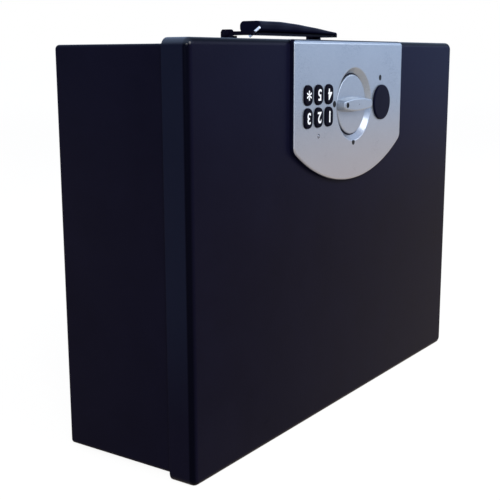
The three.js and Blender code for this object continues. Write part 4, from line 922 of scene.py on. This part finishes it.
def fascia_outline(inset, steps=10):
    half = fascia_half - inset
    drop = fascia_side_low - fascia_low
    big = (fascia_half ** 2 + drop ** 2) / (2 * drop)
    centre_z = fascia_low + big
    big -= inset
    corner = fascia_corner - inset
    top_corner = max(fascia_top_corner - inset, 0.5)
    corner_x = half - corner
    corner_z = centre_z - math.sqrt((big - corner) ** 2 - corner_x ** 2)
    meet = math.atan2(corner_z - centre_z, corner_x)
    top = case_height - inset
    return [
        *arc(corner_x, corner_z, corner, meet, 0, steps),
        *arc(half - top_corner, top - top_corner, top_corner, 0, quarter, 5),
        *arc(-half + top_corner, top - top_corner, top_corner, quarter, math.pi, 5),
        *arc(-corner_x, corner_z, corner, -math.pi, -math.pi - meet, steps),
        *arc(0, centre_z, big, -math.pi - meet, meet, 48)[1:-1],
    ]


def fascia_ring(y, inset):
    """A ring of the fascia. Along the top its edge is drawn to a broader round."""
    reach = max(0.0, 1 - (y + fascia_proud) / top_round)
    fall = max(0.0, top_round * (1 - math.sqrt(1 - reach * reach)) - inset)
    ring = []
    for x, z in fascia_outline(inset):
        share = min(1.0, max(0.0, (z - case_height + top_reach) / top_reach))
        ring.append(Vector((x, y, z - fall * share * share)))
    return ring


fascia_path = [
    *eased_front(-fascia_proud, fascia_edge, 8),
    *[(y, 0) for y in (-2.3, -1.8, -1.3, -0.8, 0)],
]
fascia_shell = skin([fascia_ring(y, inset) for y, inset in fascia_path])
for face in fascia_shell.faces:
    face.material_index = int(face.calc_center_median().y > fascia_edge - fascia_proud)

over_bend = lid_bend + 0.3
bend_turn = math.asin(lid_bend / over_bend)
bend_arc = arc(lid_bend, case_height - lid_bend, over_bend, math.pi - bend_turn, math.pi, 8)
hook_outline = [(lid_bend - over_bend, case_height - 0.01), *bend_arc]
top_hook = side_plate(hook_outline, 2 - fascia_half, fascia_half - 2)

cut_proud, cut_through = -2 * fascia_proud, 2
bowl_inner, bowl_outer, bowl_floor = 22.7, 27.0, -0.5
bowl_lip = [(26.2, -3.64), (26.42, -3.82), (26.7, -3.95), (bowl_outer, -fascia_proud)]
bowl_wall = [(bowl_inner, cut_through), (bowl_inner, bowl_floor), *bowl_lip, (bowl_outer, cut_proud)]
key_half_width, key_half_height, key_corner = 5.2, 6.8, 4.2
column_pitch, row_pitch = 14.1, 15.6
key_spots = {}
for row, labels in enumerate((("star", "5", "4"), ("3", "2", "1"))):
    for column, label in enumerate(labels):
        key_spots[label] = (pad_x + (column - 1) * column_pitch, pad_z + (0.5 - row) * row_pitch)


def key_outline(x, z, grow):
    width, height = key_half_width + grow, key_half_height + grow
    return rounded(x - width, z - height, x + width, z + height, key_corner + grow, 10)


lamp_x, lamp_z, lamp_hole = -49, 211, 1.65
cap_pocket, pocket_floor = 11.6, -1.8
mat_pocket = rounded(pad_x - 20.4, pad_z - 15.7, pad_x + 20.4, pad_z + 15.7, 0.7, 3)
fascia_cutters = [
    lathe(bowl_wall, (dial_x, 0, dial_z), "Y", 128),
    prism(mat_pocket, pocket_floor, cut_through),
    *[prism(key_outline(x, z, 0.3), cut_proud, cut_through) for x, z in key_spots.values()],
    round_bar(cover_x, cover_z, cap_pocket, cut_proud, pocket_floor, 96),
    round_bar(cover_x, cover_z, cylinder_hole, -fascia_proud, cut_through, 64),
    round_bar(lamp_x, lamp_z, lamp_hole, cut_proud, cut_through, 32),
    *[round_bar(x, z, screw_hole, -2.8, cut_through, 24) for x, z in screw_spots],
]
fascia = wrought(
    "fascia",
    fascia_shell,
    silver_paint,
    moulded_black,
    added=[top_hook],
    cutters=fascia_cutters,
)
fitted(fascia, "lid", "silver_plastic", "lock_fascia")


# The dial: a silver painted disc that turns at the bottom of the fascia's bowl, moulded in one
# with the raised finger bar across it and with the spindle that drives the lock wheel.
bar_proud, bar_half, bar_mid, bar_end, bar_corner = 4.0, 21.4, 4.6, 3.0, 2
dial_radius, dial_back, dial_front, dial_round = 21.7, -0.3, -1.8, 0.8
spindle_radius, square_half_width, square_half_height = 3.0, 2, 2.2
dot_radius, dot_from_end, dimple_depth = 1.7, 4.2, 0.4
disc_profile = [
    (1.0, dial_back),
    (dial_radius - 0.1, dial_back),
    (dial_radius, dial_back - 0.1),
    *[(dial_radius - inset, y) for y, inset in reversed(eased_front(dial_front, dial_round, 5))],
    (1.0, dial_front),
]


def bar_outline(inset):
    corner = bar_corner - inset
    corner_x, corner_z = bar_half - bar_corner, bar_end - bar_corner
    points = []
    for side, start in ((1, 0), (-1, math.pi)):
        points += arc(side * corner_x, side * corner_z, corner, start, start + quarter, 6)
        for i in range(1, 40):
            share = 1 - 2 * i / 40
            rise = bar_end - inset + (bar_mid - bar_end) * (1 - share * share)
            points.append((side * corner_x * share, side * rise))
        points += arc(-side * corner_x, side * corner_z, corner, start + quarter, start + 2 * quarter, 6)
    return [(dial_x + x, dial_z + z) for x, z in points]


bar_face = -fascia_proud - bar_proud
bar_path = [*eased_front(bar_face, 1.0, 6), (-2.0, -0.9), (-1.4, -1.2)]
square_end = cuboid(dial_x - square_half_width, dial_x + square_half_width, 3, 6.8,
                    dial_z - square_half_height, dial_z + square_half_height)
dial = wrought(
    "dial",
    lathe(disc_profile, (dial_x, 0, dial_z), "Y", 128),
    silver_paint,
    added=[
        skin([ring_at(bar_outline(inset), y) for y, inset in bar_path]),
        round_bar(dial_x, dial_z, spindle_radius, -1, 4),
        square_end,
    ],
    cutters=[
        round_bar(dial_x - bar_half + dot_from_end, dial_z, dot_radius, -9, bar_face + dimple_depth, 32),
        round_bar(dial_x, dial_z, 0.5, -9, bar_face + dimple_depth, 24),
        round_bar(dial_x, dial_z, 1.35, 1.85, 9, 24),
    ],
)
fitted(dial, "knob", "silver_plastic", "dial_knob")


# The keys: six tall oval buttons of black silicone rubber that stand a little above the fascia,
# with white printed characters. The lock is mounted as it is read with the case lying down.
white_ink, ink = finish("white_ink")
spot = ink.spot()
print_wear = ink.noise(spot, 700.0, 3.0)
ink.coat({
    "Base Color": ink.mixed(print_wear, rgb(206, 210, 216), rgb(232, 234, 238)),
    "Roughness": 0.5 + 0.1 * print_wear,
})


def character(text, x, z, height, weight, y_face, depth):
    """A printed character, upside down on a standing case, centred on a place."""
    letter = bpy.data.objects.new("character", bpy.data.curves.new("character", "FONT"))
    letter.data.body = text
    letter.data.extrude = 0.5
    letter.data.offset = weight
    bpy.context.scene.collection.objects.link(letter)
    mesh = made_mesh(letter)
    bpy.data.objects.remove(letter)
    shape = bmesh.new()
    shape.from_mesh(mesh)
    bmesh.ops.remove_doubles(shape, verts=shape.verts, dist=1e-5)
    low = Vector([min(v.co[i] for v in shape.verts) for i in range(3)])
    high = Vector([max(v.co[i] for v in shape.verts) for i in range(3)])
    scale = height / (high.y - low.y)
    for vert in shape.verts:
        across, up, out = vert.co - (low + high) / 2
        vert.co = (x - across * scale, y_face + depth / 2 - out * depth, z - up * scale)
    bmesh.ops.recalc_face_normals(shape, faces=shape.faces)
    return shape


key_face, key_round, key_back, key_lip = -5.4, 0.8, -1.5, 0.7
key_path = [*eased_front(key_face, key_round, 8), (key_back, 0), (key_back, -key_lip), (-0.6, -key_lip)]
ink_proud, ink_depth = 0.05, 0.3
for label, (x, z) in key_spots.items():
    rings = [ring_at(key_outline(x, z, -inset), y) for y, inset in key_path]
    stem = round_bar(x, z, 3.0, -0.9, 0.6)
    key = wrought(f"key_cap_{label}", skin(rings), soft_rubber, added=[stem])
    fitted(key, f"button_{label}", "black_rubber", f"key_{label}")
    text, height, weight = ("*", 6.9, 0.012) if label == "star" else (label, 7.9, 0.022)
    letter = character(text, x, z, height, weight, key_face - ink_proud, ink_depth)
    mark = wrought(f"mark_{label}", letter, white_ink, crease=30)
    fitted(mark, f"button_{label}", "black_rubber")


# The status lamp: a small smoked lens beside the keypad's foot, lit by a diode on the board.
smoked_lens, lens = finish("smoked_lens")
spot = lens.spot()
haze = lens.noise(spot, 800.0, 2.0)
lens.coat({
    "Base Color": lens.mixed(haze, rgb(84, 88, 100), rgb(112, 116, 128)),
    "Roughness": 0.12 + 0.08 * haze,
    "Coat Weight": 0.4 + 0.1 * haze,
})
lens_radius, lens_front, rim_radius, rim_front, rim_back = 1.5, -4.4, 2.0, 1.2, 2.6
lens_profile = [
    (0.2, rim_back),
    (rim_radius, rim_back),
    (rim_radius, rim_front),
    (lens_radius, rim_front),
    *[(lens_radius - inset, y) for y, inset in reversed(eased_front(lens_front, lens_radius, 8)[1:])],
    (0.1, lens_front),
]
lamp_lens = lathe(lens_profile, (lamp_x, 0, lamp_z), "Y", 40)
fitted(wrought("lamp_lens", lamp_lens, smoked_lens), "lid", "lamp_plastic", "status_lamp")


# The cap of the emergency keyway: a round plug of glossy black plastic pressed into the fascia,
# with a thin skirt behind it. It pulls straight out.
cap_radius, cap_front, cap_back, cap_round = 13.3, -5.7, -4.0, 0.8
skirt_inner, skirt_outer, skirt_back = 10.0, 11.2, -3.0
cap_profile = [
    (0.2, cap_back),
    (skirt_inner, cap_back),
    (skirt_inner, skirt_back),
    (skirt_outer, skirt_back),
    (skirt_outer, cap_back),
    (cap_radius - 0.15, cap_back),
    (cap_radius, cap_back - 0.15),
    *[(cap_radius - inset, y) for y, inset in reversed(eased_front(cap_front, cap_round, 8))],
    (6.0, cap_front - 0.05),
    (0.2, cap_front - 0.06),
]
cap = lathe(cap_profile, (cover_x, 0, cover_z), "Y", 96)
fitted(wrought("keyway_cap", cap, moulded_black), "cap", "black_plastic", "key_cover")


# The screws behind the fascia: four pan headed steel screws that hold it from behind the lid's
# front wall, and two smaller ones for the circuit board. Each head has a cross recess.
def screw_row(bench, places, size):
    """A screw with a pointed shank, a domed head and a cross cut into it."""
    shank, head, high = size["shank"], size["head"], size["head_height"]
    screw = turned(bench, shank * 0.6, 28, [
        (0.5, 1 / 0.6),
        (size["length"] - 0.5, 1.0),
        (0.0, head / shank),
        (high * 0.5, 1.0),
        (high * 0.3, 0.9),
        (high * 0.2, 0.72),
    ])
    top = size["length"] + high
    cross = [slab(bench, (head * a, head * b, high * 1.1), (0.0, 0.0, top))
             for a, b in ((1.1, 0.2), (0.2, 1.1))]
    return copied(bench, places, less(bench, screw, *cross), (-quarter, 0.0, 0.0))


fascia_spots = [(x, -2.6, z) for x, z in screw_spots]
board_spots = [(x, 0.6, 203) for x in (-71.4, -29.0)]
for name, spots, head, head_height, length in (
    ("fascia_screw", fascia_spots, 2.5, 2.0, 3.8),
    ("board_screw", board_spots, 2.4, 1.6, 3.6),
):
    screws = laid_out(f"{name}s", spots, screw_row, zinc_plate, shank=1.2, head=head,
                      head_height=head_height, length=length)
    nodes = [f"{name}_{i + 1}" for i in range(len(spots))]
    fitted(wrought(f"{name}s", screws, zinc_plate), "lid", "zinc_steel", *nodes)


# The keypad's mat and circuit board: a sheet of black silicone that the keys press on, and a board
# with copper tracks under a green mask, two moulded chips and a reset switch.
eased_copy("silicone_mat", "keypad_mat", soft_rubber, "lid", "black_rubber", 0.15)
solder_mask, board = finish("solder_mask")
spot = board.spot()
x, y, z = board.along(spot)
plan = board.node("ShaderNodeCombineXYZ", None, {0: x, 1: z, 2: 0.0})
values = {"Vector": plan, "Scale": 110.0, "Mortar Size": 0.03, "Brick Width": 0.7, "Row Height": 0.24}
tracks = board.node("ShaderNodeTexBrick", {"offset": 0.37}, values, 1)
weave = board.noise(spot, 900.0, 3.0)
raised = behind(y, 4.3, 4.5)
green = board.mixed(tracks, rgb(18, 76, 42), rgb(46, 118, 66))
board.coat({
    "Base Color": board.mixed(raised, green, rgb(26, 26, 29)),
    "Roughness": 0.3 + 0.15 * weave + 0.2 * raised,
    "Normal": board.bump(tracks + 0.3 * weave, 0.00004),
})
eased_copy("keypad_board", "circuit_board", solder_mask, "lid", "circuit_green", 0.15)


# The bolt work: the dial's spindle runs in a moulded bush and turns a zinc plated wheel, whose
# crank pin lifts the carriage. Two bolts riveted to the carriage slide in a bent steel guide.
eased_copy("bush", "spindle_bush", moulded_black, "lid", "black_plastic", 0.15)
eased_copy("crank_wheel", "lock_wheel", zinc_plate, "knob", "zinc_steel", 0.2)
eased_copy("spindle_screw", "wheel_screw", zinc_plate, "knob", "zinc_steel", 0.15)
eased_copy("carriage", "bolt_carriage", zinc_plate, "bolts", "zinc_steel", 0.2)
eased_copy("guide", "bolt_guide", zinc_plate, "lid", "zinc_steel", 0.2)
for node in ("bolt_left", "bolt_right"):
    eased_copy(f"{node}_rod", node, zinc_plate, "bolts", "zinc_steel", 0.35, 3)


# The solenoid: a coil in a folded steel frame under the wheel, painted dark, with a bright steel
# plunger that drops out of the wheel's notch when the code is right.
dark_lacquer, lacquer = finish("dark_lacquer")
spot = lacquer.spot()
run = lacquer.noise(spot, 240.0, 3.0)
lacquer.coat({
    "Base Color": lacquer.mixed(run, rgb(38, 40, 44), rgb(56, 58, 62)),
    "Roughness": 0.34 + 0.14 * run,
    "Normal": lacquer.bump(run, 0.00003),
})
eased_copy("coil_frame", "solenoid_body", dark_lacquer, "lid", "zinc_steel", 0.3)
eased_copy("plunger", "solenoid_plunger", zinc_plate, "plunger", "zinc_steel", 0.2)


# The emergency lock: a turned brass cylinder behind the cap, its hexagon nut, and the brass plug
# that turns in it, with a keyway in front and a tongue behind.
turned_brass, brass = finish("turned_brass")
spot = brass.spot()
x, _, z = brass.along(spot)
rings = (away_from(x, z, cover_x, cover_z) * 9000.0).maths("SINE") * 0.5 + 0.5
tarnish = brass.noise(spot, 160.0, 4.0, 0.6)
brass.coat({
    "Base Color": brass.mixed(tarnish, rgb(176, 146, 78), rgb(204, 176, 104)),
    "Metallic": 1.0,
    "Roughness": 0.22 + 0.12 * tarnish + 0.05 * rings,
    "Normal": brass.bump(rings, 0.00001),
})
eased_copy("emergency_cylinder", "override_cylinder", turned_brass, "lid", "zinc_steel")
eased_copy("hexagon_nut", "cylinder_nut", zinc_plate, "lid", "zinc_steel", 0.3)
eased_copy("emergency_plug", "override_plug", turned_brass, "plug", "brass", 0.15)


# The lock housing: a box moulded in dark grey plastic with a fine grain, which covers the bolt
# work inside the lid. Two ears take the lid's studs, and each has a steel nut.
grained_grey, grained = finish("grained_grey")
spot = grained.spot()
leather = grained.node("ShaderNodeTexVoronoi", {"feature": "SMOOTH_F1"}, {"Vector": spot, "Scale": 1100.0})
flow = grained.noise(spot, 18.0, 3.0)
grained.coat({
    "Base Color": grained.mixed(flow, rgb(52, 54, 60), rgb(62, 64, 70)),
    "Roughness": 0.46 + 0.12 * flow + 0.06 * leather,
    "Specular IOR Level": 0.3,
    "Normal": grained.bump(leather, 0.00006),
})
housing_side, housing_low, housing_high = 77.5, 178.5, 254.0
housing_front, housing_back, housing_wall, housing_corner = 1.2, 33.0, 1.5, 6
door_half, door_low, door_high, door_play = 54, 182, 212, 0.3
reset_x, reset_z = -61, 240
ear_middle, ear_half, ear_back = 81.5, 5, 3.2


def housing_outline(inset):
    right = housing_side - inset
    return rounded(-right, housing_low + inset, right, housing_high - inset, housing_corner - inset, 8)


housing_path = [(housing_front, 0), *eased_back(housing_back, 3, 8)]
hollow_path = [
    (0.5, housing_wall),
    *[(y - housing_wall, inset + housing_wall) for y, inset in eased_back(housing_back, 1.5, 6)],
]
back_cut = (30, 34)
housing_holes = [
    skin([ring_at(housing_outline(inset), y) for y, inset in hollow_path]),
    prism(rounded(-door_half, door_low, door_half, door_high, 2, 6), *back_cut),
    prism(rounded(-8, door_high - 1, 8, door_high + 1.4, 0.5, 2), *back_cut),
    round_bar(reset_x, reset_z, 2.9, *back_cut),
]
ears = []
for side in (-1, 1):
    housing_holes.append(upright(circle(side * 28, 10.5, 4.3, 32), housing_high - 3, housing_high + 2))
    housing_holes.append(round_bar(side * stud_x, stud_z, stud_radius + 0.2, 0, 5, 32))
    ear_x = side * ear_middle
    ears.append(cuboid(ear_x - ear_half, ear_x + ear_half, housing_front, ear_back, stud_z - 6, stud_z + 6))
housing = wrought(
    "housing",
    skin([ring_at(housing_outline(inset), y) for y, inset in housing_path]),
    grained_grey,
    added=ears,
    cutters=housing_holes,
    ease=0.2,
)
fitted(housing, "lid", "grey_plastic", "lock_housing")
for side in ("left", "right"):
    eased_copy(f"stud_nut_{side}", f"housing_nut_{side}", zinc_plate, "lid", "zinc_steel", 0.3, 3)


# The battery door: a flat panel moulded with the housing's grain, with a finger tab at its top and
# four grip grooves below the tab. It snaps into the opening in the housing's back.
door_right, door_front = door_half - door_play, housing_back - housing_wall
door_outline = rounded(-door_right, door_low + door_play, door_right, door_high - door_play, 2, 6)
groove_width, groove_depth, groove_pitch = 0.9, 0.5, 1.8
groove_spots = [203.0 + i * groove_pitch for i in range(4)]
door = wrought(
    "door",
    prism(door_outline, door_front, housing_back),
    grained_grey,
    added=[cuboid(-7.7, 7.7, door_front, housing_back, door_high - 2.5, door_high + 1.1)],
    cutters=[cuboid(-9, 9, housing_back - groove_depth, housing_back + 1, z, z + groove_width)
             for z in groove_spots],
    ease=0.2,
)
fitted(door, "cell_door", "grey_plastic", "battery_door")


# The cells: four AA cells end to end in two rows, in a black cradle with a steel contact plate at
# either end. A film printed in dark blue and copper is shrunk round each, rolled over its ends.
eased_copy("cradle", "battery_cradle", moulded_black, "lid", "black_plastic")
for side in ("left", "right"):
    eased_copy(f"contact_{side}", f"battery_contact_{side}", zinc_plate, "lid", "zinc_steel", 0.1)


def cell_row(bench, places, size):
    """A cell with a rolled film edge at either end and a pressed contact nub."""
    radius, nub = size["radius"], size["nub_radius"]
    cell = turned(bench, radius - 0.5, 48, [
        (0.4, radius / (radius - 0.5)),
        (size["length"] - 0.9, 1.0),
        (0.5, (radius - 0.5) / radius),
        (0.0, (radius - 1.6) / (radius - 0.5)),
        (-0.3, 0.98),
        (0.0, nub / (radius - 1.6) * 1.02),
        (size["nub_height"] + 0.15, 1.0),
        (0.15, 0.86),
    ])
    return copied(bench, places, cell, tilted(bench, 1, size["tilt"]))


cell_y, cell_radius, cell_length, cell_pitch, row_start = 22.6, 7.1, 48.8, 52.4, 50.6
for side, z, nodes in ((1, 189.4, ("battery_1", "battery_2")), (-1, 204.2, ("battery_3", "battery_4"))):
    cell_film, film = finish(f"cell_film_{nodes[0]}")
    spot = film.spot()
    x = film.along(spot)[0]
    from_start = side * x + row_start * millimetre
    reach = from_start.maths("FLOORED_MODULO", from_start, cell_pitch * millimetre)
    copper = reach.rise(0.0325, 0.0327)
    metal = reach.rise(0.0486, 0.0487)
    scuff = film.noise(spot, 300.0, 4.0, 0.6)
    film.coat({
        "Base Color": film.mixed(metal, film.mixed(copper, rgb(26, 36, 66), rgb(178, 110, 66)),
                                 rgb(200, 202, 206)),
        "Metallic": 0.25 + 0.6 * metal,
        "Roughness": 0.24 + 0.14 * scuff,
        "Normal": film.bump(scuff, 0.00001),
    })
    places = [(side * (i * cell_pitch - row_start), cell_y, z) for i in range(2)]
    cells = laid_out(f"cells_{nodes[0]}", places, cell_row, cell_film, radius=cell_radius,
                     length=cell_length, nub_radius=2.75, nub_height=1.0, tilt=side * quarter)
    fitted(wrought(f"cells_{nodes[0]}", cells, cell_film), "lid", "cell_wrap", *nodes)


# The reset button: a red moulded rod from the housing's back down to the switch on the board,
# with a collar that keeps it in.
red_moulding, red = finish("red_moulding")
spot = red.spot()
fleck = red.noise(spot, 700.0, 3.0)
red.coat({
    "Base Color": red.mixed(fleck, rgb(158, 34, 28), rgb(182, 46, 36)),
    "Roughness": 0.34 + 0.12 * fleck,
    "Normal": red.bump(fleck, 0.00002),
})
rod_radius, collar_radius, button_radius = 1.4, 3.8, 2.6
rod_front, collar_front, collar_back, button_back = 9.1, 29.9, 31.2, 34.0
reset_profile = [
    (0.2, rod_front), (rod_radius - 0.1, rod_front),
    (rod_radius, rod_front + 0.2), (rod_radius, collar_front),
    (collar_radius - 0.2, collar_front), (collar_radius, collar_front + 0.2),
    (collar_radius, collar_back - 0.2), (collar_radius - 0.2, collar_back),
    (button_radius, collar_back), (button_radius, button_back - 0.4),
    (button_radius - 0.2, button_back - 0.1), (2.0, button_back), (0.2, button_back - 0.1),
]
reset_rod = lathe(reset_profile, (reset_x, 0, reset_z), "Y", 40)
fitted(wrought("reset_rod", reset_rod, red_moulding), "reset", "red_plastic", "reset_button")
